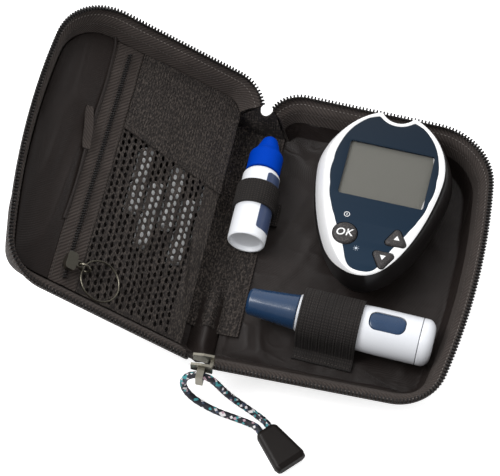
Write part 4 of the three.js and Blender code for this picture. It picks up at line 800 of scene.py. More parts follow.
@dataclass(frozen=True)
class Outline:
    """The rim of one half, seen from above: front edge, corner, bowed side, corner, slanted rear
    edge and the corner at the spine, each a straight or an arc."""

    reach: float = CASE_REACH
    length: float = 138.6
    front: float = FRONT_REACH
    front_corner: float = 20.0
    rear_corner: float = 28.0
    spine_corner: float = 14.0
    notch: float = 2.2
    front_bow: float = math.radians(12)
    rear_bow: float = math.radians(5)
    slant: float = math.radians(2.5)
    spine_turn: float = math.radians(73)
    front_run: float = 15.0
    rear_run: float = 8.0
    side_run: float = 9.0
    spine_run: float = 7.5
    wall: float = 2.2
    top_share: float = 0.55
    height_shares: tuple = (0.0, 0.1, 0.3, 0.6, 1.0)
    run_shares: tuple = (1.0, 0.86, 0.66, 0.45, 0.17)

    def stations(self, start: float, step: float = 1.2) -> np.ndarray:
        """Walks round the rim: straights keep their heading, and on an arc of radius r the heading
        grows by the length walked divided by r.

        Args:
            start: Distance of the first station from the hinge line.
            step: Longest distance between stations.

        Returns:
            Rows of x, y, heading and length walked.
        """
        bow = math.sin(self.front_bow) + math.sin(self.rear_bow)
        end = math.pi - self.slant + self.spine_turn
        span = (self.reach - self.notch + self.rear_corner * (math.sin(self.slant) - math.cos(self.rear_bow))
                + self.spine_corner * (math.sin(end) - math.sin(self.slant)))
        bow_radius = (self.length - self.front_corner * (1 - math.sin(self.front_bow))
                      - self.rear_corner * (math.cos(self.slant) - math.sin(self.rear_bow))
                      - self.spine_corner * (1 - math.cos(self.slant)) - span * math.tan(self.slant))
        bow_radius /= bow - (1 - math.cos(self.rear_bow)) * math.tan(self.slant)
        rear_edge = (span - bow_radius * (1 - math.cos(self.rear_bow))) / math.cos(self.slant)
        front_end = (self.reach - self.front_corner * math.cos(self.front_bow)
                     - bow_radius * (1 - math.cos(self.front_bow)))
        quarter = math.pi / 2
        parts = [
            (front_end - start, 0.0), (self.front_corner, quarter - self.front_bow),
            (bow_radius, self.front_bow + self.rear_bow),
            (self.rear_corner, quarter - self.rear_bow - self.slant), (rear_edge, 0.0),
            (self.spine_corner, self.spine_turn),
        ]
        heading, x, y = 0.0, start, -self.front
        rows = [np.array([[x, y, heading]])]
        for size, turn in parts:
            count = max(2, math.ceil((size * turn if turn else size) / step))
            share = np.arange(1, count + 1) / count
            if turn:
                headings = heading + turn * share
                xs = x + size * (np.sin(headings) - math.sin(heading))
                ys = y + size * (math.cos(heading) - np.cos(headings))
            else:
                headings = np.full(count, heading)
                xs = x + size * share * math.cos(heading)
                ys = y + size * share * math.sin(heading)
            rows.append(np.stack([xs, ys, headings], -1))
            x, y, heading = xs[-1], ys[-1], headings[-1]
        places = np.vstack(rows)
        length = np.r_[0, np.cumsum(np.hypot(*np.diff(places[:, :2], axis=0).T))]
        return np.c_[places, length]

    def outwards(self, stations: np.ndarray) -> np.ndarray:
        """The level direction out of the rim at each station, stations by 1 by 3."""
        heading = stations[:, None, 2]
        return np.stack([np.sin(heading), -np.cos(heading), np.zeros_like(heading)], -1)

    def inset(self, stations: np.ndarray, amount: np.ndarray, level: np.ndarray) -> np.ndarray:
        """Points moved in from the rim: each lies to the left of the walk by the given amount.

        Args:
            stations: Rows of stations().
            amount: Stations by levels.
            level: Heights, alone or for each station.

        Returns:
            Stations by levels by 3.
        """
        amount, level = np.broadcast_arrays(amount, level)
        x, y, heading = (stations[:, k, None] for k in range(3))
        return np.stack([x - np.sin(heading) * amount, y + np.cos(heading) * amount, level], -1)

    def wall_run(self, heading: np.ndarray) -> np.ndarray:
        """How far the wall leans in over its height: front and rear by their own run, the sides by
        theirs, mixed by the cube of the heading's cosine."""
        lean = np.abs(np.cos(heading)) ** 3
        run = np.where(heading < math.pi / 2, self.front_run, self.rear_run)
        side = np.where(heading < math.pi, self.side_run, self.spine_run)
        return side + (run - side) * lean

    def outer(self, stations: np.ndarray, level: np.ndarray) -> np.ndarray:
        """Inset of the wall's outer face at each station and level."""
        share = smooth_table(self.height_shares, self.run_shares, np.asarray(level) / WALL_TOP)
        return self.wall_run(stations[:, 2])[:, None] * share

    def inner(self, stations: np.ndarray, level: np.ndarray) -> np.ndarray:
        """Inset of the wall's inner face: the outer one plus a wall that thins towards the top."""
        share = 1 - (1 - self.top_share) * np.minimum(np.asarray(level) / WALL_TOP, 1)
        return self.outer(stations, level) + self.wall * share


OUTLINE = Outline()


@dataclass(frozen=True)
class Half:
    """One half of the case: padded shell, satin lining, zip tape and teeth."""

    side: str
    body: str
    seat: Seat
    mirror: float
    chain_start: float
    floor: float = 2.0
    lining: float = 0.8
    tooth_pitch: float = 1.55
    stitch_pitch: float = 1.75
    floor_points: int = 16
    swell: float = 0.35
    unevenness: float = 0.3
    tape_edge: float = 0.4
    tape_thickness: float = 0.8

    def over(self, points: np.ndarray) -> np.ndarray:
        """Takes points or frames to this half's side of the hinge line."""
        return points * (self.mirror, 1.0, 1.0)

    def bowl(self, stations: np.ndarray, wall: np.ndarray, floor_level: float, count: int) -> np.ndarray:
        """A surface from the spine's line over the floor and up the wall: the floor's points lie
        evenly between the line and the wall's foot, at the same share of both.

        Args:
            stations: Rows of stations().
            wall: Points up the wall, stations by levels by 3.
            floor_level: The floor's height.
            count: Points across the floor.

        Returns:
            Stations by points by 3.
        """
        foot = wall[:, :1]
        share = stations[:, 3] / stations[-1, 3]
        line = np.stack([
            np.full(len(stations), SPINE_START), foot[0, 0, 1] + (foot[-1, 0, 1] - foot[0, 0, 1]) * share,
            np.full(len(stations), floor_level),
        ], -1)[:, None]
        across = (np.arange(count) / count)[None, :, None]
        return np.concatenate([line + (foot - line) * across, wall], 1)

    def shell(self) -> None:
        """Builds the padded shell: outside from the spine to the rim, over it, and back inside."""
        stations = OUTLINE.stations(SPINE_START)
        levels = WALL_TOP * np.linspace(0, 1, 17) ** 1.25
        puff = self.swell * np.sin(math.pi * levels / WALL_TOP)
        outside = OUTLINE.inset(stations, OUTLINE.outer(stations, levels) - puff, levels)
        outside = self.bowl(stations, outside, 0.0, self.floor_points)
        up = levels[levels >= self.floor]
        inside = OUTLINE.inset(stations, OUTLINE.inner(stations, up), up)
        inside = self.bowl(stations, inside, self.floor, 6)
        points = both_faces(outside, inside)
        uneven = ripple(points, 14.0, 3 if self.mirror > 0 else 4)[..., None]
        cover = np.zeros(points.shape[1])
        cover[self.floor_points:][:len(levels)] = np.sin(math.pi * np.linspace(0, 1, len(levels)))
        points = points + OUTLINE.outwards(stations) * uneven * self.unevenness * cover[None, :, None]
        piece = grid_piece(f"{self.side}_shell_cloth", self.over(points), self.seat, SHELL_CLOTH, caps=True, sharp=60)
        dress(piece, self.body, "shell_fabric", f"{self.side}_shell")

    def lining_piece(self) -> None:
        """Builds the satin lining, whose floor and walls carry soft waves and a few sharp folds."""
        stations = OUTLINE.stations(SPINE_START)
        low, high = self.floor + GAP, TAPE_BOTTOM - GAP
        levels = low + (high - low) * np.linspace(0, 1, 10)
        outside = OUTLINE.inset(stations, OUTLINE.inner(stations, levels) + GAP, levels)
        outside = self.bowl(stations, outside, low, 6)
        levels = FLOOR_TOP + (high - FLOOR_TOP) * np.linspace(0, 1, 14) ** 1.3
        inside = OUTLINE.inset(stations, OUTLINE.inner(stations, levels) + GAP + self.lining, levels)
        inside = self.bowl(stations, inside, FLOOR_TOP, 56)
        seed = 11 if self.mirror > 0 else 12
        soft = ripple(inside, 17.0, seed) * 0.30
        fold = creases(inside, 26.0, seed + 5, (1.0, 2.2, 1.0)) * 0.45 + creases(inside, 13.0, seed + 9) * 0.2
        count = inside.shape[1]
        edge = np.clip(np.minimum(np.arange(count), count - 1 - np.arange(count)) / 4, 0, 1)
        ends = np.clip(np.minimum(stations[:, 3], stations[-1, 3] - stations[:, 3]) / 5, 0, 1)
        weight = edge[None, :] * ends[:, None]
        wall = np.clip((inside[..., 2] - FLOOR_TOP) / 4, 0, 1)
        push = (soft + fold - 0.35) * weight
        inside = inside - OUTLINE.outwards(stations) * (np.maximum(push, -0.1) * wall * 1.5)[..., None]
        inside[..., 2] += np.clip(push, -0.5, 0.25) * (1 - wall)
        points = both_faces(outside, inside)
        piece = grid_piece(f"{self.side}_lining_satin", self.over(points), self.seat, LINING_SATIN, caps=True, sharp=70)
        dress(piece, self.body, "lining_satin", f"{self.side}_lining")
        cloth(piece, 112.0, 146.0, "stretched", f"{self.side}_shell_cloth")

    def tape(self) -> None:
        """Builds the zip tape: a strip that follows the wall's inner face and stands up at the rim."""
        stations = OUTLINE.stations(self.chain_start)
        low = np.linspace(TAPE_BOTTOM, WALL_TOP, 6)
        face = OUTLINE.inner(stations, low) + 2 * GAP
        edge, thick, straight = self.tape_edge, self.tape_thickness, TAPE_TOP - 1.0
        climb = np.linspace(0, 1, 6)[None, 1:]
        rise = WALL_TOP + (straight - WALL_TOP) * climb
        bend = climb * climb * (3 - 2 * climb)
        lean = face[:, -1:] + (-edge - face[:, -1:]) * bend
        outside = np.hstack([face, lean, np.tile((-edge, -edge * 0.5), (len(stations), 1))])
        levels = np.r_[low, rise[0], TAPE_TOP - 0.2, TAPE_TOP]
        inside = outside + thick
        inside[:, -2:] = (edge, edge * 0.5)
        inside[:, len(low):-2] = face[:, -1:] + thick + (edge - face[:, -1:] - thick) * bend
        points = OUTLINE.inset(stations, both_faces(outside, inside), np.r_[levels, levels[::-1]])
        uv = surface_lengths(stations[:, 3], walked(points[len(stations) // 2]))
        piece = grid_piece(f"{self.side}_tape_twill", self.over(points), self.seat, TWILL_TAPE,
                           uv=uv, caps=True, sharp=60)
        dress(piece, self.body, "zip_tape", f"{self.side}_zip_tape")
        self.stitch_rows(points, len(levels))

    def stitch_rows(self, points: np.ndarray, count: int) -> None:
        """Sews two rows of stitches into the tape's inner face, at a third and two thirds of it."""
        for number, place in enumerate((count + 4, count + 8)):
            frames, origins = along_path(points[:, place], self.stitch_pitch)
            origins = origins + np.cross((0, 0, 1.0), frames[:, 0]) * 0.06
            piece = repeated_piece(f"{self.side}_tape_stitches_{number + 1}", bead(1.05, 0.42, 0.3, 4, 6),
                                   self.over(frames), self.over(origins), self.seat,
                                   THREAD if number == 0 else DARK_THREAD)
            dress(piece, self.body, "zip_tape")

    def teeth(self) -> None:
        """Stands one tooth after another on the tape's edge: each is a rounded block whose head is
        wider than its foot, on a thin core."""
        stations = OUTLINE.stations(self.chain_start, 0.5)
        path = np.c_[stations[:, :2], np.full(len(stations), TAPE_TOP)]
        frames, origins = along_path(path, self.tooth_pitch)
        rings = [(0.0, 0.55, 0.62), (0.7, 0.7, 0.75), (1.3, 1.15, 0.86), (1.75, 1.1, 0.8), (2.0, 0.75, 0.5)]
        corners = np.array([(1, 0.6), (0.6, 1), (-0.6, 1), (-1, 0.6), (-1, -0.6), (-0.6, -1), (0.6, -1), (1, -0.6)])
        template = np.array([
            (corner[0] * thick / 2, corner[1] * reach, rise - 0.15)
            for rise, reach, thick in rings for corner in corners
        ])
        lid = np.array([(0, 1, 2, 3), (0, 3, 4, 7), (4, 5, 6, 7)])
        faces = np.vstack([grid_faces(len(rings), 8, False, True)[0], lid + (len(rings) - 1) * 8, lid[:, ::-1]])
        piece = repeated_piece(f"{self.side}_zip_teeth", (template, faces), self.over(frames),
                               self.over(origins), self.seat, ZIP_TEETH, 35)
        dress(piece, self.body, "zip_teeth", f"{self.side}_zip_chain")
        core = tube_piece(f"{self.side}_zip_core", self.over(path + (0, 0, 0.25)), 0.5, self.seat, TWILL_TAPE)
        dress(core, self.body, "zip_tape")

    def build(self) -> None:
        """Builds every piece of this half."""
        self.shell()
        self.lining_piece()
        self.tape()
        self.teeth()


def along_path(path: np.ndarray, pitch: float) -> tuple:
    """Frames at even steps along a path that is never upright: the first axis follows it, the third
    is nearest to upwards.

    Args:
        path: Points of the path.
        pitch: Distance between frames.

    Returns:
        Frames, whose rows are their axes, and origins.
    """
    step = np.linalg.norm(np.diff(path, axis=0), axis=1)
    length = np.r_[0, np.cumsum(step)]
    count = max(2, int(length[-1] / pitch))
    at = (np.arange(count) + 0.5) * length[-1] / count
    origins = np.stack([np.interp(at, length, path[:, k]) for k in range(3)], -1)
    ahead = np.stack([np.interp(at, length, np.gradient(path[:, k], length)) for k in range(3)], -1)
    ahead /= np.linalg.norm(ahead, axis=1, keepdims=True)
    side = np.cross((0, 0, 1.0), ahead)
    side /= np.linalg.norm(side, axis=1, keepdims=True)
    return np.stack([ahead, side, np.cross(ahead, side)], 1), origins


def dress(piece: bpy.types.Object, body: str, slot: str, *nodes: str) -> None:
    """Lets a piece ride on a body and stand for CAD nodes, and reports it.

    Args:
        piece: The piece.
        body: The body that carries it.
        slot: The record's material slot; not used.
        *nodes: The CAD nodes that it stands for.
    """
    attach(piece, body)
    if nodes:
        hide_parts(*nodes)
    LOG.info("%s: %d faces on %s", piece.name, len(piece.data.polygons), body)


def cloth(piece: bpy.types.Object, width: float, length: float, held: str, *rests_on: str) -> None:
    """Reads the areas of a thin piece's faces, and does nothing more with them. A sheet's flat area is
    half the area of its faces, which lie on both its sides.

    Args:
        piece: The piece.
        width: Width that it was cut to, in millimetres; not used.
        length: Length that it was cut to; not used.
        held: How it is held; not used.
        *rests_on: What carries it; not used.
    """
    areas = np.zeros(len(piece.data.polygons))
    piece.data.polygons.foreach_get("area", areas)


def seam_row(name: str, start: tuple, end: tuple, seat: Seat, body: str, slot: str, pitch: float = 1.6) -> None:
    """Sews a straight row of stitches: beads a little shorter than the pitch.

    Args:
        name: The piece's name.
        start: First point of the seam.
        end: Last point of the seam.
        seat: Where its frame sits.
        body: The body that carries it.
        slot: The material slot; not used.
        pitch: Length of a stitch with its gap.
    """
    frames, origins = along_path(np.array([start, end]), pitch)
    piece = repeated_piece(name, bead(pitch * 0.72, 0.36, 0.28, 4, 6), frames, origins, seat, DARK_THREAD)
    dress(piece, body, slot)


def row(x: float, y: float, z: float) -> tuple:
    """A point of the case's frame in metres in the row frame."""
    return ((x - CASE_REACH / 2) * MM, y * MM, z * MM)


def finish_node(frame: dict, finish: Finish, *names: str) -> None:
    """Gives a finish to CAD nodes that are kept."""
    for name in names:
        node = frame["nodes"][name]
        if not node.data.materials:
            node.data.materials.append(None)
        for place in node.material_slots:
            place.link = "OBJECT"
            place.material = finish.material()
        LOG.info("%s: carried over from the frame", name)


def soften(frame: dict, width: float, *names: str) -> None:
    """Rounds the edges of CAD nodes that show: their triangles are joined, then bevelled."""
    for name in names:
        node = frame["nodes"][name]
        modifier(node, "WELD", merge_threshold=MERGE)
        modifier(node, "BEVEL", width=width * MM, segments=3, limit_method="ANGLE", angle_limit=math.radians(35),
                 harden_normals=False)
        modifier(node, "WEIGHTED_NORMAL", keep_sharp=True)


@dataclass(frozen=True)
class Spine:
    """The flexible panel at the hinge, with a knitted band sewn over it inside.

    It is made in strips by their distance from the hinge's axis.
    """

    thickness: float = 1.2
    play: float = 0.12
    front_hump: float = 0.3
    rear_hump: float = 0.1
    hump_start: float = -34.0
    hump_run: float = 18.0
    lap: float = 0.8
    top: float = 15.6
    gusset_middle: float = 16.4
    band_front: float = -43.5
    band_base: float = 8.3
    band_lid: float = 5.5
    band_thickness: float = 0.5
    gusset_thickness: float = 0.9
    gusset_dip: float = 1.2
    gusset_lap: float = 0.6
    gusset_inset: float = 0.4
    floor_room: float = 0.1

    def hump(self, y: np.ndarray) -> np.ndarray:
        """How far the panel bulges inwards: more in front of the middle, less behind it."""
        share = np.clip((y - self.hump_start) / self.hump_run, 0, 1)
        return self.front_hump + (self.rear_hump - self.front_hump) * share * share * (3 - 2 * share)

    def surface(self, places: np.ndarray, depth: float, columns: int = 15) -> np.ndarray:
        """Points of the panel: at distance r from the hinge's axis, an angle from 0 to the lid's
        own, with r less the bulge times the sine of half a turn.

        Args:
            places: Rows of y and z of the panel's lower side at the base.
            depth: How far the surface lies inside the lower side.
            columns: Points from the base to the lid.

        Returns:
            Rows by columns by 3.
        """
        share = np.linspace(0, 1, columns)[None]
        y, z = places[:, :1], places[:, 1:]
        reach = (RIM - z) * (1 - self.hump(y) * np.sin(math.pi * share)) - self.play - depth
        angle = LID_ANGLE * share + (2 * share - 1) * self.lap / (RIM - z)
        return self.swung(reach, angle, y)

    def swung(self, reach: np.ndarray, angle: np.ndarray, y: np.ndarray) -> np.ndarray:
        """Points at distances from the hinge's axis, turned from straight down towards the lid."""
        return np.stack([-reach * np.sin(angle), np.broadcast_to(y, reach.shape), RIM - reach * np.cos(angle)], -1)

    def strip(self, name: str, places: np.ndarray, finish: Finish, depth: tuple, replaces: tuple = ()) -> None:
        """Makes one strip between two depths, and hides the nodes that it replaces."""
        lower, upper = (self.surface(places, d) for d in depth)
        piece = grid_piece(name, both_faces(lower, upper), BASE, finish, caps=True, sharp=60)
        self.bend(piece, float(RIM - places[:, 1].mean()), float(places[:, 0].mean()))
        if replaces:
            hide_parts(*replaces)

    def bend(self, piece: bpy.types.Object, reach: float, y: float) -> None:
        """Bakes a piece's placement into its mesh, and logs its name."""
        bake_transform(piece)
        LOG.info("%s: bends with the lid", piece.name)

    def build(self) -> None:
        """Builds the panel's strips, outside and inside, and the knitted band."""
        rear = OUTLINE.stations(SPINE_START)[-1, 1]
        levels = np.linspace(0, 1, 13)
        lean = smooth_table(OUTLINE.height_shares, OUTLINE.run_shares, levels)
        front = np.c_[-FRONT_REACH + OUTLINE.front_run * lean, levels * self.top]
        back = np.c_[rear - 2.0 + levels, levels * WALL_TOP]
        middle = np.c_[np.linspace(front[0, 0], rear - 2.0, 52), np.zeros(52)]
        half = self.thickness / 2
        parts = [("floor", np.vstack([front[4:0:-1], middle, back[1:5]])),
                 ("front_low", front[8:3:-1]), ("front_high", front[:7:-1])]
        for name, places in parts:
            nodes = ("spine_panel",) if name == "floor" else ()
            self.strip(f"spine_{name}_outside", places, SHELL_CLOTH, (0.0, half), nodes)
            self.strip(f"spine_{name}_inside", places, LINING_SATIN, (half, self.thickness))
        self.gusset()
        self.band(rear - 3.0)

    def gusset(self) -> None:
        """Closes the rear between the two walls' ends: from the base's edge to the lid's the distance
        from the hinge's axis follows an arch, and the upper edge dips in the middle."""
        share = np.linspace(0, 1, 29)[None]
        rise = np.linspace(0, 1, 25)
        level = rise * TAPE_TOP
        end = OUTLINE.stations(SPINE_START)[-1:]
        wall = np.minimum(level, WALL_TOP)
        edge = OUTLINE.inset(end, OUTLINE.outer(end, wall) + self.gusset_inset, level)[0]
        climb = np.clip((level - WALL_TOP) / (TAPE_TOP - WALL_TOP), 0, 1)
        edge[:, :2] += (OUTLINE.inset(end, np.zeros((1, 1)), 0.0)[0, 0, :2] - edge[:, :2]) * climb[:, None]
        reach = np.hypot(edge[:, 0], RIM - level)[:, None]
        lean = np.arctan2(edge[:, 0], RIM - level)[:, None] + self.gusset_lap / reach
        arch = np.sin(math.pi * share) ** 3
        reach = reach * (1 - arch) + ((RIM - rise * self.gusset_middle) * (1 - self.rear_hump))[:, None] * arch
        angle = -lean + (LID_ANGLE + 2 * lean) * share
        room = (RIM - self.floor_room) / np.maximum(np.cos(angle), np.cos(LID_ANGLE - angle))
        reach = np.minimum(reach, room)
        y = edge[:, 1:2] - self.gusset_dip * arch * rise[:, None]
        points = np.concatenate([
            self.swung(reach, angle, y), self.swung(reach, angle, y - self.gusset_thickness)[::-1],
        ], 0)
        piece = grid_piece("spine_rear_gusset", points, BASE, SHELL_CLOTH, (True, False), caps=True, sharp=60)
        self.bend(piece, 14.0, float(edge[:, 1].mean()))

    def band(self, rear: float) -> None:
        """Builds the knitted band: from the base's floor over the hinge to the lid's, with a hem."""
        y = np.linspace(self.band_front, rear, 90)[:, None]
        share = np.linspace(0, 1, 21)[None]
        room, blend = 0.05, 0.35
        fall = RIM - FLOOR_TOP - room
        panel = RIM * (1 - self.hump(y) * np.sin(math.pi * share)) - self.play - self.thickness - room
        reach = -blend * np.logaddexp(-fall / blend, -panel / blend)
        waves = 0.12 * np.sin(y * 1.1 + share * 4)

        def curve(lift: float) -> np.ndarray:
            """The band's line from the base to the lid, lifted by a little."""
            r = reach - lift + waves * (lift > 0.2)
            arc = self.swung(r, LID_ANGLE * share, y)
            along = np.linspace(1, 0, 7)[:-1][None] + 0 * y
            y_flat, level = y + 0 * along, FLOOR_TOP + room + lift + 0 * along
            base = np.stack([along * self.band_base, y_flat, level], -1)
            lid = np.stack([-along[:, ::-1] * self.band_lid, y_flat, level], -1)
            return np.concatenate([base, arc, LID.in_case(lid)], 1)

        piece = grid_piece("spine_knit_band", both_faces(curve(0.0), curve(self.band_thickness)), BASE, SPINE_KNIT,
                           caps=True, sharp=60)
        self.bend(piece, RIM - FLOOR_TOP, 0.0)
        cloth(piece, 28.0, 103.0, "stretched", "spine_floor_inside", "base_lining_satin")
        path = np.c_[np.full(120, self.band_base - 0.2), np.linspace(self.band_front, rear, 120),
                     np.full(120, FLOOR_TOP + 0.55)]
        hem = tube_piece("spine_band_hem", path, 0.4, BASE, TWILL_TAPE)
        dress(hem, "case_base", "shell_fabric")


@dataclass(frozen=True)
class Meter:
    """The meter: two housings, face plate, window, display, keys and cradle, in its own frame."""

    half_width: float = 29.75
    top_reach: float = 31.0
    bottom_reach: float = 52.0
    middle: float = 3.0
    centre: float = -5.0
    notch: float = 35.1
    notch_radius: float = 7.6
    plate_notch_radius: float = 10.0
    notch_blend: float = 0.3
    split_low: float = 9.65
    split_high: float = 9.95
    top: float = 23.0
    end_lean: tuple = (-0.25, 0.25)
    columns: int = 480
    heights: tuple = (0.0, 0.3, 0.6, 0.83, 0.95, 1.0)
    insets: tuple = (0.0, 0.01, 0.045, 0.1, 0.148, 0.19)
    low_heights: tuple = (0.0, 0.15, 0.39, 0.7, 1.0)
    low_insets: tuple = (0.32, 0.23, 0.16, 0.085, 0.014)
    plate_width: float = 22.3
    plate_up: float = 28.8
    plate_down: float = 49.2
    plate_low: float = 21.8
    plate_top: float = 22.8
    window: tuple = (1.1, 0.0, 36.9, 27.5)
    key_low: float = 19.0
    key_top: float = 24.0
    ok_place: tuple = (-9.85, -32.9)
    ok_radius: float = 5.2
    arrow_turns: tuple = (92.0, -90.0)
    arrow_reach: float = 3.4
    arrow_corner: float = 1.5
    power_place: tuple = (-11.03, -23.57)
    sun_place: tuple = (-3.77, -38.86)
    side_last: float = 0.955
    cradle_floor: float = 9.5
    low_wall: float = 1.7
    foot_wall: float = 0.8
    door_opening: tuple = (0.0, -7.5, 23.6, 45.6)

    @property
    def angles(self) -> np.ndarray:
        """Directions round the meter's middle."""
        return np.arange(self.columns) * FULL_TURN / self.columns

    def polar(self, x: np.ndarray, y: np.ndarray) -> np.ndarray:
        """The distance from the middle, in each direction, of a closed line round it."""
        turn = np.unwrap(np.arctan2(y - self.centre, x))
        if turn[-1] < turn[0]:
            x, y, turn = x[::-1], y[::-1], turn[::-1]
        reach = np.hypot(x, y - self.centre)
        start = turn[0]
        wanted = start + np.mod(self.angles - start, FULL_TURN)
        return np.interp(wanted, np.r_[turn, start + FULL_TURN], np.r_[reach, reach[0]])

    def notched(self, reach: np.ndarray, radius: float) -> np.ndarray:
        """Keeps a line out of the round notch at the top: the lesser, smoothly, of its distance and
        of where the direction meets the notch's circle."""
        direction = np.stack([np.cos(self.angles), np.sin(self.angles)], -1)
        ahead = direction[:, 1] * (self.notch - self.centre)
        inside = radius ** 2 - ((self.notch - self.centre) ** 2 - ahead ** 2)
        hit = np.where((inside > 0) & (ahead > 0), ahead - np.sqrt(np.maximum(inside, 0)), 99.0)
        return -self.notch_blend * np.logaddexp(-reach / self.notch_blend, -hit / self.notch_blend)

    def ring(self, inset: float, notch: float, end_lean: tuple = (1.0, 1.0)) -> np.ndarray:
        """The meter's outline, moved in: half an ellipse above its widest line and a slimmer curve
        below, whose width is the square root of one less the height share to the power 1.5.

        Args:
            inset: How far in.
            notch: Radius of the notch that cuts it.
            end_lean: How much of the inset the rear and the front end take.

        Returns:
            A distance from the middle for each direction.
        """
        turn = np.arange(2880) * FULL_TURN / 2880
        s, c = np.sin(turn), np.cos(turn)
        reach = np.where(s >= 0, self.top_reach - self.middle - inset * end_lean[0],
                         self.bottom_reach + self.middle - inset * end_lean[1])
        power = np.where(s >= 0, 2.0, 1.5)
        across = np.sign(c) * (self.half_width - inset) * np.sqrt(np.maximum(1 - np.abs(s) ** power, 0))
        return self.notched(self.polar(across, self.middle + reach * s), notch)

    def plate_line(self) -> np.ndarray:
        """The face plate's outline: its points joined, and smoothed over four degrees."""
        half = np.array([(0.31, 1), (0.55, 0.92), (0.8, 0.7), (0.955, 0.4), (1, 0.06), (0.95, -0.2),
                         (0.84, -0.39), (0.72, -0.51), (0.6, -0.62), (0.47, -0.73), (0.37, -0.84),
                         (0.31, -0.93), (0.2, -0.985), (0, -1)])
        both = np.vstack([half, (half * (-1, 1))[-2::-1]])
        y = both[:, 1] * np.where(both[:, 1] >= 0, self.plate_up, self.plate_down)
        reach = self.polar(both[:, 0] * self.plate_width, y)
        width = max(3, self.columns // 72)
        kernel = np.hanning(width * 2 + 1)
        padded = np.r_[reach[-width:], reach, reach[:width]]
        return self.notched(np.convolve(padded, kernel / kernel.sum(), "valid"), self.plate_notch_radius)

    def plate_edge(self) -> tuple:
        """The face plate's edge, and the line round it where the housing's top turns down."""
        last = self.ring(0.172 * self.half_width, self.notch_radius + 0.9, self.end_lean)
        return np.minimum(self.plate_line(), last - 0.8), last

    def points(self, rows: list) -> np.ndarray:
        """A surface from rows of distance and level."""
        reach = np.array([np.broadcast_to(r, self.columns) for r, _ in rows])
        level = np.array([np.broadcast_to(z, self.columns) for _, z in rows])
        return np.stack([reach * np.cos(self.angles), self.centre + reach * np.sin(self.angles), level], -1)

    def outline(self, reach: np.ndarray) -> np.ndarray:
        """The line's points, x and y."""
        return self.points([(reach, 0.0)])[0, :, :2]

    def keys(self, margin: float) -> dict:
        """Outlines of the three keys: a circle, and two triangles whose corners are arcs."""
        shapes = {"ok": circle(*self.ok_place, self.ok_radius + margin, 64)}
        for name, x, y, turn in zip(("up", "down"), (11.65, 8.0), (-31.0, -41.2), self.arrow_turns):
            arcs = []
            for k in range(3):
                heading = math.radians(turn + 120 * k)
                spread = heading + np.linspace(-math.pi / 3, math.pi / 3, 9)
                corner = self.arrow_corner + margin
                arcs.append(np.stack([x + self.arrow_reach * math.cos(heading) + corner * np.cos(spread),
                                      y + self.arrow_reach * math.sin(heading) + corner * np.sin(spread)], -1))
            shapes[name] = np.vstack(arcs)
        return shapes

    def cut_keys(self, piece: bpy.types.Object, sharp: float) -> None:
        """Cuts the openings for the keys through a piece."""
        for outline in self.keys(0.3).values():
            cut(piece, outline, self.key_low - 1.5, self.key_top + 3, METER, sharp)

    def low_inset(self, share: float) -> float:
        """How far in the lower housing's side lies at a share of its height."""
        return float(smooth_table(self.low_heights, self.low_insets, share)) * self.half_width

    def side(self) -> np.ndarray:
        """Distances from the middle on the top housing's side, at even shares of its height."""
        table = []
        for share in np.linspace(0, self.side_last, 48):
            inset = float(smooth_table(self.heights, self.insets, share)) * self.half_width
            flare = 0.5 * max(0.0, share - 0.86) / 0.1
            table.append(self.ring(inset, self.notch_radius + flare, self.end_lean))
        return np.array(table)

    def side_row(self, table: np.ndarray, share: np.ndarray) -> tuple:
        """Distance and level on the side at a height share for each direction, by a straight line
        between the two nearest of the table's rows."""
        place = np.clip(share / self.side_last * (len(table) - 1), 0, len(table) - 1.001)
        low, at = place.astype(int), np.arange(self.columns)
        reach = table[low, at] + (table[low + 1, at] - table[low, at]) * (place - low)
        return reach, self.split_high + (self.top - self.split_high) * share

    def shade_line(self) -> np.ndarray:
        """Where the silver meets the painted shade below it, as a height share for each direction: halfway
        up at the left, towards the light, and just below the lip at the right and the bottom, away from it."""
        # The light comes from the left: the painted shade rises to the lip on the sides turned away from it
        left = np.cos(self.angles - math.radians(168))
        rise = np.clip((0.3 - left) / 0.55, 0, 1)
        return 0.4 + 0.545 * rise * rise * (3 - 2 * rise)

    def top_housing(self) -> None:
        """Builds the top housing in two: a black side band below a line, standing for painted shade and
        dark reflection where the silver turns from the light, and above it the silver with its shoulder,
        the lip at the plate, and the wall's inner face."""
        table, line = self.side(), self.shade_line()
        edge, level = self.side_row(table, line)
        rows = [(self.ring(1.9, self.notch_radius + 1.9), self.split_high),
                (self.ring(0.35, self.notch_radius + 0.3), self.split_high),
                (self.ring(0.05, self.notch_radius + 0.05), self.split_high + 0.2)]
        rows += [self.side_row(table, 0.04 + (line - 0.04) * k) for k in np.linspace(0, 1, 16)]
        rows += [(edge - 0.2, level + 0.02), (edge - 2.0, level + 0.02)]
        # Black band below the line: painted shade and dark reflection where the silver side turns from the light
        band = grid_piece("shaded_side_band", self.points(rows), METER, SHADED_SIDE_BLACK, (True, True), sharp=50)
        dress(band, "meter", "black_gloss")
        near, last = self.plate_edge()
        rows = [(edge - 0.75, np.minimum(level - 0.5, 20.6)), (edge - 0.75, level + 0.05), (edge - 0.12, level + 0.06)]
        rows += [self.side_row(table, line + 0.002 + (0.953 - line) * k) for k in np.linspace(0, 1, 14)]
        for share, height in ((0.0, 22.62), (0.15, 22.78), (0.4, 22.92), (0.7, 22.98), (0.9, 22.97)):
            rows.append((last + (near + 0.35 - last) * share, height))
        rows += [(near + 0.22, 22.86), (near + 0.15, 22.7), (near + 0.15, 21.7), (near - 2.2, 21.7),
                 (near - 2.2, 20.9)]
        piece = grid_piece("silver_housing", self.points(rows), METER, SILVER_PAINT, (True, True), sharp=50)
        self.cut_keys(piece, 50)
        dress(piece, "meter", "silver_plastic", "meter_top_housing")

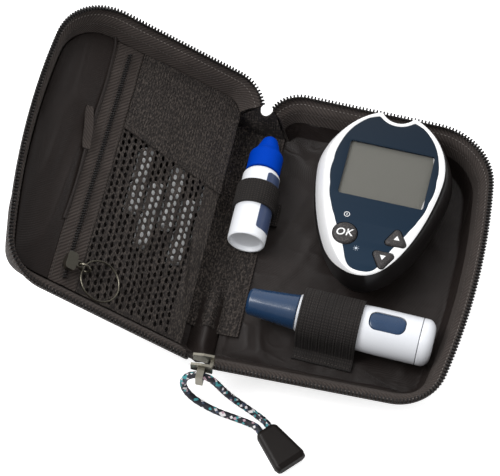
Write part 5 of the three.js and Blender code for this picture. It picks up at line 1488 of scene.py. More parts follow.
    def bottom_housing(self) -> None:
        """Builds the black lower housing: its side, and the plate below with the door's opening."""
        rows = []
        for share in np.linspace(0, 1, 14):
            rows.append((self.ring(self.low_inset(share), self.notch_radius), self.split_low * share))
        for share in (0.97, 0.7, 0.4, 0.15, 0.0):
            wall = self.low_wall if share > 0.2 else self.foot_wall
            rows.append((self.ring(self.low_inset(share) + wall, self.notch_radius + wall), self.split_low * share))
        piece = grid_piece("lower_housing", self.points(rows), METER, BLACK_GLOSS, (True, True), sharp=50)
        dress(piece, "meter", "black_gloss", "meter_bottom_housing")
        opening = rounded_rectangle(*self.door_opening, 1.0)
        edge = self.outline(self.ring(self.low_inset(0) + self.foot_wall, self.notch_radius + self.foot_wall))
        plate = flat_piece("lower_housing_floor", [edge[::4], opening], 0.0, 1.5, METER, BLACK_GLOSS, 0.1)
        dress(plate, "meter", "black_gloss")

    def cradle(self) -> None:
        """Builds the cradle: a shallow gloss dish whose wall follows the lower housing."""
        rows = [(0.05, -2.8), (self.ring(self.cradle_floor + 1.0, self.notch_radius), -2.8),
                (self.ring(self.cradle_floor, self.notch_radius), -2.6)]
        lip = self.low_inset(5.2 / self.split_low)
        for level in np.linspace(-1.6, 5.0, 12):
            inset = self.low_inset(max(level, 0) / self.split_low)
            rows.append((self.ring(inset - 1.3, self.notch_radius - 0.3), level))
        for out, wider, level in ((1.1, -0.2, 5.17), (0.8, 0.0, 5.2), (0.45, 0.3, 5.15)):
            rows.append((self.ring(lip - out, self.notch_radius + wider), level))
        for level in np.linspace(4.9, -0.3, 10):
            inset = self.low_inset(max(level, 0) / self.split_low)
            rows.append((self.ring(inset - 0.3, self.notch_radius + 0.4), level))
        rows.append((0.05, -0.3))
        piece = grid_piece("gloss_cradle", self.points(rows), METER, BLACK_GLOSS, sharp=50)
        dress(piece, "case_base", "black_gloss", "meter_cradle")

    def face(self) -> None:
        """Builds the face plate with its window, the lens in it and the display below."""
        x, y, width, height = self.window
        edge = self.outline(self.plate_edge()[0])
        hole = rounded_rectangle(x, y, width + 0.1, height + 0.1, 1.2)
        plate = flat_piece("navy_plate", [edge[::2], hole], self.plate_low, self.plate_top, METER, NAVY_PLATE, 0.12)
        self.cut_keys(plate, 30)
        dress(plate, "meter", "navy_gloss", "meter_face_plate")
        lens = flat_piece("window_lens", [rounded_rectangle(x, y, width - 0.1, height - 0.1, 1.1)], 22.0, 22.8,
                          METER, CLEAR_LENS, 0.08)
        dress(lens, "meter", "clear_lens", "meter_lens")
        display = flat_piece("display_panel", [rounded_rectangle(x + 0.1, y - 0.3, width + 1.6, height + 1.4, 0.6)],
                             17.1, 21.5, METER, DISPLAY, 0.1)
        dress(display, "meter", "display_grey", "meter_display")

    def key_pieces(self) -> None:
        """Builds the keys: each outline carried up its side, over a rounded edge and a low dome."""
        bodies = {"ok": "ok_key", "up": "up_key", "down": "down_key"}
        profile = [(0.0, self.key_low), (1.0, self.key_low), (1.0, 22.6), (0.985, 23.0), (0.94, 23.4),
                   (0.86, 23.68), (0.72, 23.86), (0.5, 23.95), (0.25, 23.99), (0.0, self.key_top)]
        for name, outline in self.keys(0.0).items():
            middle = outline.mean(0)
            share = np.array([p[0] for p in profile])[:, None, None]
            flat = middle + (outline - middle)[None] * np.maximum(share, NEARLY_NOTHING)
            level = np.array([p[1] for p in profile])[:, None] + np.zeros(len(outline))
            points = np.concatenate([flat, level[..., None]], -1)
            piece = grid_piece(f"{name}_key_rubber", points, METER, KEY_RUBBER, sharp=60)
            dress(piece, bodies[name], "button_rubber", f"{name}_button")
        for name, x, y, turn in zip(("up", "down"), (11.9, 7.9), (-31.0, -41.0), self.arrow_turns):
            heading = np.radians(turn + np.array([0, 120, 240]))
            corners = np.stack([x + 1.45 * np.cos(heading), y + 1.45 * np.sin(heading)], -1)
            mark = flat_piece(f"{name}_arrow", [corners], 23.9, 24.04, METER, WHITE_INK)
            dress(mark, bodies[name], "button_rubber")
        self.ok_mark()

    def ok_mark(self) -> None:
        """Sets the two letters of the middle key, slanted a little, and prints them on its dome."""
        curve = bpy.data.curves.new("key_letters.outline", "FONT")
        curve.body, curve.size, curve.space_character = "OK", 4.7, 1.12
        curve.align_x, curve.align_y = "CENTER", "CENTER"
        curve.offset, curve.shear, curve.extrude = 0.07, 0.18, 0.05
        points, faces = curve_mesh(curve)
        points[:, :2] -= (points[:, :2].max(0) + points[:, :2].min(0)) / 2
        turn = math.radians(5)
        spun = np.stack([points[:, 0] * math.cos(turn) - points[:, 1] * math.sin(turn),
                         points[:, 0] * math.sin(turn) + points[:, 1] * math.cos(turn)], -1)
        sag = 0.12 * (np.hypot(spun[:, 0], spun[:, 1]) / 3.5) ** 2
        placed = np.c_[spun + self.ok_place, self.key_top - 0.02 + points[:, 2] - sag]
        letters = new_piece("key_letters", placed, faces, METER, WHITE_INK, None, 30.0)
        dress(letters, "ok_key", "button_rubber")

    def marks(self) -> None:
        """Prints the two generic signs on the plate: power above the middle key, and a small sun."""
        level = (self.plate_top - 0.02, self.plate_top + 0.03)
        rings = [circle(*self.power_place, radius, 40) for radius in (1.25, 1.0)]
        ring = flat_piece("power_sign_ring", rings, *level, METER, WHITE_INK)
        upright = rounded_rectangle(*self.power_place, 0.26, 1.2, 0.1)
        bar = flat_piece("power_sign_bar", [upright], *level, METER, WHITE_INK)
        sun = flat_piece("sun_sign_disc", [circle(*self.sun_place, 0.55, 24)], *level, METER, GREY_INK)
        for piece in (ring, bar, sun):
            dress(piece, "meter", "navy_gloss")
        turn = np.arange(8) * FULL_TURN / 8
        frames = np.stack([np.stack([np.cos(turn), np.sin(turn), 0 * turn], -1),
                           np.stack([-np.sin(turn), np.cos(turn), 0 * turn], -1),
                           np.tile((0.0, 0.0, 1.0), (8, 1))], 1)
        origins = frames[:, 0] * 1.05 + (*self.sun_place, self.plate_top)
        rays = repeated_piece("sun_sign_rays", bead(0.5, 0.16, 0.08, 4, 6), frames, origins, METER, GREY_INK)
        dress(rays, "meter", "navy_gloss")

    def build(self, frame: dict) -> None:
        """Builds the meter, and finishes the nodes inside it."""
        self.top_housing()
        self.bottom_housing()
        self.cradle()
        self.face()
        self.key_pieces()
        self.marks()
        finish_node(frame, BLACK_GLOSS, "battery_door", "test_strip_port", "button_pad")
        finish_node(frame, BOARD, "meter_circuit_board")
        finish_node(frame, STEEL, "coin_cell_1", "coin_cell_2", "cell_contact", "housing_screw_1",
                    "housing_screw_2", "housing_screw_3", "housing_screw_4")
        soften(frame, 0.3, "battery_door")


@dataclass(frozen=True)
class Vial:
    """The control solution vial: bottle, label, cap, and the elastic loop that holds it."""

    radius: float = 8.2
    shoulder: float = 35.4
    recess: float = 2.0
    recess_radius: float = 6.8
    label_low: float = 4.4
    label_high: float = 32.6
    label_start: float = math.radians(4)
    label_end: float = math.radians(67)
    cap_radius: float = 7.5
    cap_foot: float = 36.0
    cap_step: float = 46.7
    tip_radius: float = 4.2
    tip: float = 54.2
    loop_start: float = 15.8
    loop_width: float = 11.4
    loop_radii: tuple = (8.5, 9.35)
    tab_levels: tuple = (-9.75, -8.95)

    def build(self, frame: dict) -> None:
        """Builds the bottle, its label, the cap and the loop."""
        bottle = rounded([
            (0.0, self.recess), (self.recess_radius - 0.5, self.recess - 0.15), (self.recess_radius, 0.9),
            (self.recess_radius + 0.25, 0.05), (self.radius - 0.35, 0.0), (self.radius, 0.7),
            (self.radius, self.shoulder - 1.9), (self.radius - 1.3, self.shoulder), (5.0, self.shoulder),
            (5.0, self.shoulder + 3.0), (3.4, self.shoulder + 3.0), (3.4, self.shoulder - 2.4),
            (self.radius - 1.3, self.shoulder - 2.4), (self.radius - 1.3, self.recess + 1.2),
            (0.0, self.recess + 1.2),
        ], 0.6, 5)
        piece = lathe_piece("vial_bottle_wall", bottle, VIAL, VIAL_WHITE, 96, 50)
        dress(piece, "vial", "white_plastic", "vial_bottle")
        cap = rounded([
            (0.0, self.tip - 2.0), (1.6, self.tip - 2.4), (4.3, self.shoulder + 5.0), (5.3, self.cap_foot),
            (self.cap_radius, self.cap_foot), (self.cap_radius, self.cap_step - 2.0),
            (self.cap_radius - 1.4, self.cap_step - 0.1), (self.tip_radius + 1.1, self.cap_step + 0.8),
            (self.tip_radius - 0.9, self.tip - 1.2), (self.tip_radius - 2.0, self.tip), (0.0, self.tip),
        ], 0.9, 6)
        piece = lathe_piece("vial_cap_shell", cap, VIAL, CAP_BLUE, 96, 60)
        dress(piece, "vial_top", "cap_blue", "vial_cap")
        self.label()
        self.loop()
        finish_node(frame, VIAL_WHITE, "vial_nozzle")

    def label(self) -> None:
        """Wraps a plain label round part of the bottle, as a thin film with rounded corners."""
        share = np.linspace(0, 1, 33)[None]
        turn = self.label_start + (self.label_end - self.label_start) * share
        y = np.linspace(self.label_low, self.label_high, 60)[:, None]
        edge = np.minimum(y - self.label_low, self.label_high - y)
        corner = 1.2
        pull = corner - np.sqrt(np.maximum(corner ** 2 - np.maximum(corner - edge, 0) ** 2, 0))
        turn = turn + (pull / self.radius) * (1 - 2 * share)

        def film(reach: float) -> np.ndarray:
            """The film's surface at one distance from the axis."""
            level = np.broadcast_to(y, turn.shape)
            return np.stack([reach * np.cos(turn), level, reach * np.sin(turn)], -1)

        points = both_faces(film(self.radius + 0.01), film(self.radius + 0.09))
        piece = grid_piece("vial_label_film", points, VIAL, LABEL_NAVY, caps=True)
        dress(piece, "vial", "navy_gloss")

    def loop(self) -> None:
        """Builds the elastic loop with its ribs, and the tab that is sewn to the lining."""
        y = np.linspace(0, self.loop_width, 92)
        ribs = 0.13 * np.abs(np.sin(math.pi * y / 1.05))
        inner, outer = self.loop_radii
        profile = [(inner, y[0]), *zip(outer + ribs, y), (inner, y[-1]), (inner, y[0])]
        shifted = [(r, self.loop_start + level) for r, level in profile]
        piece = lathe_piece("vial_loop_band", shifted, VIAL, ELASTIC, 72, 60)
        dress(piece, "case_base", "elastic", "vial_loop")
        cloth(piece, 12.0, 60.0, "stretched", "vial_bottle_wall")
        x = np.concatenate([np.linspace(2.0, 10.4, 12), np.linspace(10.4, 2.0, 12)])
        z = np.repeat(self.tab_levels, 12)
        z[18:] += np.linspace(0.0, 0.5, 6)
        strip = np.stack([np.broadcast_to(x, (92, 24)), np.broadcast_to(self.loop_start + y[:, None], (92, 24)),
                          z + ribs[:, None] * (np.arange(24) > 11)], -1)
        tab = grid_piece("vial_loop_tab", strip, VIAL, ELASTIC, caps=True)
        dress(tab, "case_base", "elastic")
        seam_row("vial_loop_stitches", (9.7, self.loop_start + 0.6, -8.8), (9.7, self.loop_start + 10.8, -8.8), VIAL,
                 "case_base", "elastic")


@dataclass(frozen=True)
class Lancer:
    """The lancing device: cap, ring, body with its release button, cocking sleeve, and the strap."""

    cap: float = 21.5
    tip_radius: float = 5.6
    cap_radius: float = 7.5
    ring_radius: float = 7.9
    radius: float = 10.0
    front_radius: float = 8.2
    body_start: float = 24.1
    body_end: float = 73.5
    length: float = 79.5
    swell: float = 0.7
    release: tuple = (0.0, 59.5, 8.0, 15.0)
    strap_start: float = 23.0
    strap_width: float = 25.6
    strap_foot: float = 5.0
    rib_pitch: float = 1.45

    def build(self, frame: dict) -> None:
        """Builds the device's outside and the strap, and finishes what lies inside."""
        cap = rounded([
            (1.6, 0.0), (4.6, 0.0), (self.tip_radius + 0.1, 1.1), (self.tip_radius + 0.75, self.cap * 0.42),
            (self.cap_radius - 0.42, self.cap * 0.8), (self.cap_radius, self.cap - 0.35),
            (self.cap_radius - 0.25, self.cap), (self.cap_radius - 1.3, self.cap), (4.3, self.cap * 0.6),
            (4.3, 1.3), (1.6, 1.3), (1.6, 0.0),
        ], 0.9, 5)
        piece = lathe_piece("lancer_cap_shell", cap, LANCER, LANCER_NAVY, 96, 55)
        dress(piece, "lancer_front", "lancer_navy", "lancer_cap")
        ring = rounded([
            (6.3, 21.8), (self.ring_radius - 0.05, 21.8), (self.ring_radius, 22.2), (self.ring_radius, 23.5),
            (self.ring_radius - 0.1, 23.8), (6.3, 23.8), (6.3, 21.8),
        ], 0.15, 3)
        piece = lathe_piece("lancer_ring_shell", ring, LANCER, LANCER_WHITE, 96)
        dress(piece, "lancer", "white_plastic", "lancer_ring")
        self.body()
        sleeve = [(0.0, 67.6), (5.1, 67.6), (5.1, 73.85), (self.radius - 0.15, 73.8), (self.radius, 74.0)]
        turn = np.linspace(0, math.pi / 2, 16)
        sleeve += [(5.2 + 4.8 * math.cos(a), 75.6 + 3.9 * math.sin(a)) for a in turn] + [(0.0, self.length)]
        piece = lathe_piece("lancer_sleeve_shell", sleeve, LANCER, LANCER_WHITE, 96, 50)
        dress(piece, "lancer", "white_plastic", "lancer_cocking_sleeve")
        self.strap()
        finish_node(frame, STEEL, "lancer_spring")
        finish_node(frame, LANCER_NAVY, "lancer_plunger")
        finish_node(frame, VIAL_WHITE, "fitted_lancet")

    def body(self) -> None:
        """Builds the body's tube with the opening for the release button, and the button, which
        follows the tube a little below it."""
        start, end = self.body_start, self.body_end
        y = start + (end - start) * np.linspace(0, 1, 34)
        reach = smooth_table((0.0, self.swell, 1.0), (self.front_radius, self.radius, self.radius),
                             (y - start) / (end - start))
        profile = [(6.7, start), (self.front_radius - 0.2, start), *zip(reach, np.clip(y, start + 0.2, end - 0.15)),
                   (self.radius - 0.15, end), (6.7, end), (6.7, start)]
        piece = lathe_piece("lancer_body_shell", profile, LANCER, LANCER_WHITE, 128, 40)
        x, place, width, length = self.release
        cut(piece, rounded_rectangle(x, place, width + 0.6, length + 0.6, 3.3), 0.5, 13.0, LANCER, 35)
        dress(piece, "lancer", "white_plastic", "lancer_body")
        outline = rounded_rectangle(x, place, width, length, 3.2)
        middle = np.array([x, place])
        rows = []
        for share, sink in ((0.0, 3.0), (1.0, 3.0), (1.0, 0.55), (0.97, 0.4), (0.92, 0.33), (0.6, 0.3), (0.3, 0.3),
                            (0.0, 0.3)):
            flat = middle + (outline - middle) * max(share, NEARLY_NOTHING)
            rows.append(np.c_[flat, np.sqrt((self.radius - sink) ** 2 - flat[:, 0] ** 2)])
        button = grid_piece("release_key", np.array(rows), LANCER, LANCER_NAVY, sharp=60)
        dress(button, "lancer_trigger", "lancer_navy", "lancer_release_button")

    def strap(self) -> None:
        """Builds the strap: a line from one foot over the device to the other, carried along it,
        with ribs that run over it, and stitches along both feet."""
        low = FLOOR_TOP + GAP - LANCER.place[2]
        inner, outer = self.radius + 0.3, self.radius + 1.15
        turn = np.linspace(math.pi, 0, 49)
        upper = np.vstack([
            [[-outer - self.strap_foot, low + 0.85], [-outer - 2.5, low + 0.85], [-outer - 0.5, low + 1.1],
             [-outer, low + 1.9], [-outer, -5.0]],
            np.c_[outer * np.cos(turn), outer * np.sin(turn)],
            [[outer, -5.0], [outer, low + 1.9], [outer + 0.5, low + 1.1], [outer + 2.5, low + 0.85],
             [outer + self.strap_foot, low + 0.85]],
        ])
        lower = np.vstack([
            [[-outer - self.strap_foot, low], [-outer - 2.5, low], [-inner - 0.5, low + 0.1], [-inner, low + 1.0],
             [-inner, -5.0]],
            np.c_[inner * np.cos(turn), inner * np.sin(turn)],
            [[inner, -5.0], [inner, low + 1.0], [inner + 0.5, low + 0.1], [outer + 2.5, low],
             [outer + self.strap_foot, low]],
        ])
        y = np.linspace(0, self.strap_width, 176)
        ribs = 0.17 * np.abs(np.sin(math.pi * y / self.rib_pitch))[:, None]
        away = upper / np.linalg.norm(upper, axis=1, keepdims=True)
        top = upper[None] + away[None] * ribs[..., None]
        section = np.concatenate([top, np.broadcast_to(lower[::-1][None], (len(y), *lower.shape))], 1)
        level = np.broadcast_to((self.strap_start + y)[:, None], section.shape[:2])
        points = np.stack([section[..., 0], level, section[..., 1]], -1)
        piece = grid_piece("lancer_strap_band", points, LANCER, ELASTIC, caps=True, sharp=60)
        dress(piece, "case_base", "elastic", "lancer_strap")
        cloth(piece, 28.0, 76.0, "stretched", "lancer_body_shell", "base_lining_satin")
        for number, side in enumerate((-1, 1)):
            x = side * (outer + self.strap_foot - 1.2)
            seam_row(f"strap_stitches_{number + 1}", (x, self.strap_start + 0.8, low + 1.0),
                     (x, self.strap_start + self.strap_width - 0.8, low + 1.0), LANCER, "case_base", "elastic")


@dataclass(frozen=True)
class Pocket:
    """The lid's pocket: satin front, zip, net with its folded flap, ribbon, and what lies in it."""

    level: float = 10.2
    top: float = 11.0
    tape_inner: float = 58.3
    tape_outer: float = 71.3
    chain: float = 64.8
    spine_edge: float = 7.0
    net_top: float = 26.0
    fold_inner: float = 16.0
    fold_outer: float = 22.9
    hole: tuple = (1.6, 2.75)
    pitch: tuple = (2.75, 3.5)
    lancet_radius: float = 3.08
    lancet_step: float = 8.4
    crown: float = 1.9
    front_thickness: float = 0.6
    net_thickness: float = 0.35
    net_lift: float = 0.35
    flap_low: tuple = (36.0, 46.0)
    flap_thin: tuple = (48.0, 54.0)

    def border(self) -> np.ndarray:
        """The line that the pocket's front may reach, clear of the lining, built on the +X side."""
        stations = OUTLINE.stations(self.spine_edge)
        levels = np.array([self.level, self.top])
        clear = OUTLINE.inner(stations, levels).max(1, keepdims=True) + 0.8 + 3 * GAP
        return OUTLINE.inset(stations, clear, 0.0)[:, 0, :2]

    def span(self, x: np.ndarray) -> tuple:
        """The border's front and rear y at each x, by its front and rear parts."""
        line = self.border()
        far = int(np.argmax(line[:, 0]))
        front = np.interp(x, line[:far + 1, 0], line[:far + 1, 1])
        rear = np.interp(x, line[far:, 0][::-1], line[far:, 1][::-1])
        return front, rear

    def panel(self) -> None:
        """Builds the satin front beyond the zip: crowned by the sine of both its parameters' half
        turns, with soft folds along it."""
        line = self.border()
        far = line[:, 0].max() - 0.02
        across = self.tape_outer + GAP + (far - self.tape_outer - GAP) * np.linspace(0, 1, 40) ** 0.9
        front, rear = self.span(across)
        share = np.linspace(0, 1, 110)[None]
        y = front[:, None] + (rear - front)[:, None] * share
        x = np.broadcast_to(across[:, None], y.shape)
        u = (x - across[0]) / (across[-1] - across[0])
        crown = np.sin(math.pi * share) ** 0.6 * np.sin(math.pi * u) ** 0.7
        flat = np.stack([x, y, 0 * x], -1)
        folds = ripple(flat, 16.0, 31, (0.7, 3.0, 1.0)) * 0.5 + creases(flat, 24.0, 37, (0.6, 3.0, 1.0)) * 0.5
        lift = crown * (self.crown + folds)
        points = layered(x, y, self.top + lift, self.top - self.front_thickness + lift) * (-1, 1, 1)
        piece = grid_piece("pocket_front_satin", points, LID, LINING_SATIN, caps=True,
                           sharp=70)
        dress(piece, "case_lid", "lining_satin", "pocket_panel")
        y = np.linspace(-30, 63, 90)
        x = -71.9 - 1.6 * np.clip((y - 56) / 8, 0, 1) ** 2 - 0.4 * np.sin(y * 0.12)
        z = self.top + 0.55 + 0.35 * np.sin(y * 0.07 + 1)
        cord = tube_piece("pocket_front_piping", np.c_[x, y, z], 0.75, LID, LINING_SATIN, sides=10)
        dress(cord, "case_lid", "lining_satin")

    def zip(self, frame: dict) -> None:
        """Builds the pocket's zip: its tape, two rows of stitches on each side, and the coil."""
        x = np.linspace(self.tape_inner, self.tape_outer, 30)
        front, rear = self.span(x)
        share = np.linspace(0, 1, 120)[None]
        y = front[:, None] + (rear - front)[:, None] * share
        grid = np.broadcast_to(x[:, None], y.shape)
        rise = 0.35 * np.exp(-((grid - self.chain) / 1.6) ** 2) + 0.1 * ripple(np.stack([grid, y, 0 * y], -1), 9.0, 41)
        points = layered(grid, y, self.top + rise - 0.1, self.level) * (-1, 1, 1)
        piece = grid_piece("pocket_tape_twill", points, LID, TWILL_TAPE, caps=True, sharp=70)
        dress(piece, "case_lid", "zip_tape", "pocket_zip_tape")
        for number, offset in enumerate((-5.6, -2.1, 2.1, 5.6)):
            x0 = self.chain + offset
            low, high = (float(v) for v in self.span(np.array([x0])))
            seam_row(f"pocket_tape_stitches_{number + 1}", (-x0, low + 1.5, self.top + 0.1),
                     (-x0, high - 1.5, self.top + 0.1), LID, "case_lid", "zip_tape", 1.7)
        count = 92
        y = np.linspace(-54.6, 57.4, count)
        for number, side in enumerate((-1, 1)):
            frames = np.tile(np.array([[1.0, 0.12 * side, 0], [-0.12 * side, 1.0, 0], [0, 0, 1.0]]), (count, 1, 1))
            origins = np.c_[np.full(count, -self.chain + 0.42 * side), y + 0.3 * side, np.full(count, 11.95)]
            coil = repeated_piece(f"pocket_coil_{number + 1}", bead(1.5, 0.72, 1.1, 5, 6), frames, origins, LID,
                                  ZIP_TEETH)
            dress(coil, "case_lid", "zip_teeth", *(("pocket_zip_chain",) if number == 0 else ()))
        finish_node(frame, SLIDER_METAL, "pocket_slider")
        soften(frame, 0.25, "pocket_slider")

    def bulge(self, x: np.ndarray, y: np.ndarray) -> np.ndarray:
        """How far the net stands up over the lancets: a smooth hill over their field, with small
        waves along each of them."""
        field = np.exp(-((np.abs(x) - 26) / 21) ** 4 - ((y + 1) / 24) ** 4)
        points = np.stack([x, y, 0 * x], -1)
        ridges = 0.9 + 0.3 * np.cos((np.abs(x) - 9.4) * FULL_TURN / self.lancet_step)
        return field * ridges + 0.45 * ripple(points, 17.0, 51)

    def net(self) -> None:
        """Builds the net: a sheet with staggered long holes, each an outline of eight points, which
        then follows the hill over what lies below."""
        x = np.linspace(self.spine_edge, self.tape_inner - GAP, 40)
        front, _ = self.span(x)
        edge = np.vstack([np.c_[x, front], np.c_[x[::-1], np.full(40, self.net_top)]])
        holes = []
        turn = np.arange(8) * FULL_TURN / 8 + FULL_TURN / 16
        columns = np.arange(self.spine_edge + 8.2, self.tape_inner - 1.6, self.pitch[0])
        rows = np.arange(-62.0, self.net_top - 2.2, self.pitch[1])
        for number, column in enumerate(columns):
            low = float(self.span(np.array([column]))[0]) + 2.6
            for place in rows + (self.pitch[1] / 2 if number % 2 else 0):
                if low < place < self.net_top - 2.0:
                    lean = 0.25 * math.sin(place * 0.31 + column)
                    holes.append(np.stack([column + self.hole[0] / 2 * np.cos(turn) + lean,
                                           place + self.hole[1] / 2 * np.sin(turn)], -1))
        points, faces = filled([edge, *holes], self.net_thickness)
        points[:, 0] *= -1
        hill = np.maximum(self.bulge(points[:, 0], points[:, 1]), -self.net_lift) * self.inside(points)
        points[:, 2] += self.net_thickness / 2 + self.level + self.net_lift + hill
        piece = new_piece("pocket_net", points, faces, LID, NET_KNIT, None, 60.0)
        dress(piece, "case_lid", "pocket_mesh", "mesh_pocket")
        cloth(piece, 52.0, 90.0, "stretched", "pocket_tape_twill")

    def inside(self, points: np.ndarray) -> np.ndarray:
        """A weight that falls to nothing at the sewn edges, over six millimetres."""
        x, y = np.abs(points[:, 0]), points[:, 1]
        front, _ = self.span(x)
        room = np.minimum(np.minimum(x - self.spine_edge, self.tape_inner - GAP - x), y - front)
        return np.clip(room / 6, 0, 1)

    def flap(self) -> None:
        """Builds the second layer of mesh, folded down over the net, with its hem along the fold."""
        x = np.linspace(self.spine_edge, self.tape_inner - 0.1, 56)
        _, rear = self.span(x)
        fold = np.interp(x, (self.spine_edge, self.tape_inner - 2.0), (self.fold_inner, self.fold_outer))
        share = np.linspace(0, 1, 60)[None]
        y = fold[:, None] + (rear - fold)[:, None] * share
        grid = np.broadcast_to(x[:, None], y.shape)
        edge = np.clip(np.minimum(share, 1 - share) * 8, 0, 1)
        edge = edge * np.clip(np.minimum(grid - x[0], x[-1] - grid) / 5, 0, 1)
        edge *= np.interp(grid, self.flap_low, (1.0, 0.0))
        waves = ripple(np.stack([grid, y, 0 * y], -1), 15.0, 61, (1.0, 1.6, 1.0)) * 0.45 * edge
        low = self.top + GAP
        thin = np.interp(grid, self.flap_thin, (0.0, 0.5))
        upper = low + 0.75 + waves + 0.3 * edge - thin
        points = layered(grid, y, upper, low + 0.1 + waves + 0.3 * edge) * (-1, 1, 1)
        piece = grid_piece("pocket_flap_mesh", points, LID, NET_KNIT, caps=True, sharp=70)
        dress(piece, "case_lid", "pocket_mesh", "mesh_flap")
        cloth(piece, 50.0, 52.0, "folded", "pocket_net")
        hem = np.c_[-x, fold + 0.5, np.full(56, low + 0.35)]
        dress(tube_piece("pocket_flap_hem", hem, 0.35, LID, TWILL_TAPE), "case_lid", "pocket_mesh")
        seam_row("pocket_flap_stitches", (-self.spine_edge - 3.0, fold[0] + 1, low + 1.0),
                 (-self.spine_edge - 3.0, rear[0] - 2, low + 1.0), LID, "case_lid", "pocket_mesh")

    def ribbon(self) -> None:
        """Builds the folded ribbon by the zip, as a strip that curls a little at its end."""
        y = np.linspace(-10, 10, 40)[:, None]
        half = 2.0 - 0.5 * (y / 10) ** 4
        across = np.linspace(-1, 1, 9)[None]
        lift = 12.3 + 0.35 * np.cos(y * 0.4) + 0.15 * across ** 2
        points = layered(across * half, y, lift + 0.7, lift)
        turn = math.radians(11)
        spin = np.array([[math.cos(turn), -math.sin(turn), 0], [math.sin(turn), math.cos(turn), 0], [0, 0, 1]])
        points = points @ spin.T + (-74.0, 14.0, 0)
        piece = grid_piece("pocket_ribbon_strip", points, LID, TWILL_TAPE, caps=True)
        dress(piece, "case_lid", "shell_fabric", "pocket_ribbon")

    def lancets(self) -> None:
        """Builds the five loose lancets: a ribbed body, a neck and the cap that is twisted off, all
        with a section between a circle and a square, whose radius follows a profile."""
        profile = np.array([
            (0.0, 0.0), (0.0, 0.78), (0.35, 0.96), (1.0, 1.0), (13.2, 1.0), (13.6, 0.96), (13.8, 0.66),
            (15.6, 0.66), (15.8, 0.9), (16.3, 0.98), (30.1, 0.98), (30.7, 0.92), (31.0, 0.74), (31.0, 0.0),
        ])
        at = np.r_[profile[:4, 0], np.linspace(1.2, 13.0, 40), profile[4:, 0]]
        scale = np.r_[profile[:4, 1], 1 - 0.05 * np.abs(np.sin(np.linspace(0, 9 * math.pi, 40))), profile[4:, 1]]
        turn = np.arange(32) * FULL_TURN / 32
        across, rise = (
            np.maximum(scale, NEARLY_NOTHING)[:, None] * (np.sign(part) * np.abs(part) ** 0.7 * self.lancet_radius)
            for part in (np.cos(turn), np.sin(turn))
        )
        for number in range(5):
            x = -43.0 + self.lancet_step * number
            start, way = ((-9.5, 1.0), (8.5, -1.0))[number % 2]
            along = np.broadcast_to((start + way * at)[:, None], across.shape)
            points = np.stack([x + across, along, 6.5 + rise], -1)
            piece = grid_piece(f"lancet_{number + 1}", points, LID, LANCET_WHITE, sharp=50)
            dress(piece, "case_lid", "white_plastic", f"loose_lancet_{number + 1}")

    def build(self, frame: dict) -> None:
        """Builds the pocket and the lancets in it."""
        self.panel()
        self.zip(frame)
        self.net()
        self.flap()
        self.ribbon()
        self.lancets()


@dataclass(frozen=True)
class Rings:
    """The pocket slider's small ring and the split ring that hangs on it."""

    place: tuple = (-61.1, -47.8)
    small_radius: float = 2.5
    wire: float = 1.0
    split_radius: float = 8.8
    heading: float = math.radians(-10)
    tab_level: float = 14.45

    def build(self) -> None:
        """Builds the small ring standing in the tab's hole, and the split ring's two turns."""
        turn = np.linspace(0, FULL_TURN, 65)[:-1]
        x = self.place[0] + self.small_radius * math.cos(self.heading)
        y = self.place[1] + self.small_radius * math.sin(self.heading)
        reach = self.small_radius * np.cos(turn)
        path = np.stack([x + reach * math.cos(self.heading), y + reach * math.sin(self.heading),
                         self.tab_level + self.small_radius * np.sin(turn)], -1)
        ahead = (math.sin(self.heading), -math.cos(self.heading), 0.0)
        small = tube_piece("slider_ring_wire", path, self.wire / 2, LID, RING_WIRE, ahead, 12, True)
        dress(small, "small_ring", "slider_metal", "pocket_pull_ring")
        x = x + self.split_radius * math.cos(self.heading)
        y = y + self.split_radius * math.sin(self.heading)
        level = self.tab_level - self.small_radius + self.wire / 2 + GAP + 0.2
        turn = np.linspace(0, 2 * FULL_TURN, 260)
        rise = 0.25 * (turn / FULL_TURN - 1)
        path = np.stack([x + self.split_radius * np.cos(turn), y + self.split_radius * np.sin(turn), level + rise], -1)
        split = tube_piece("split_ring_wire", path, 0.34, LID, RING_WIRE, sides=10)
        dress(split, "key_ring", "ring_steel", "split_ring")


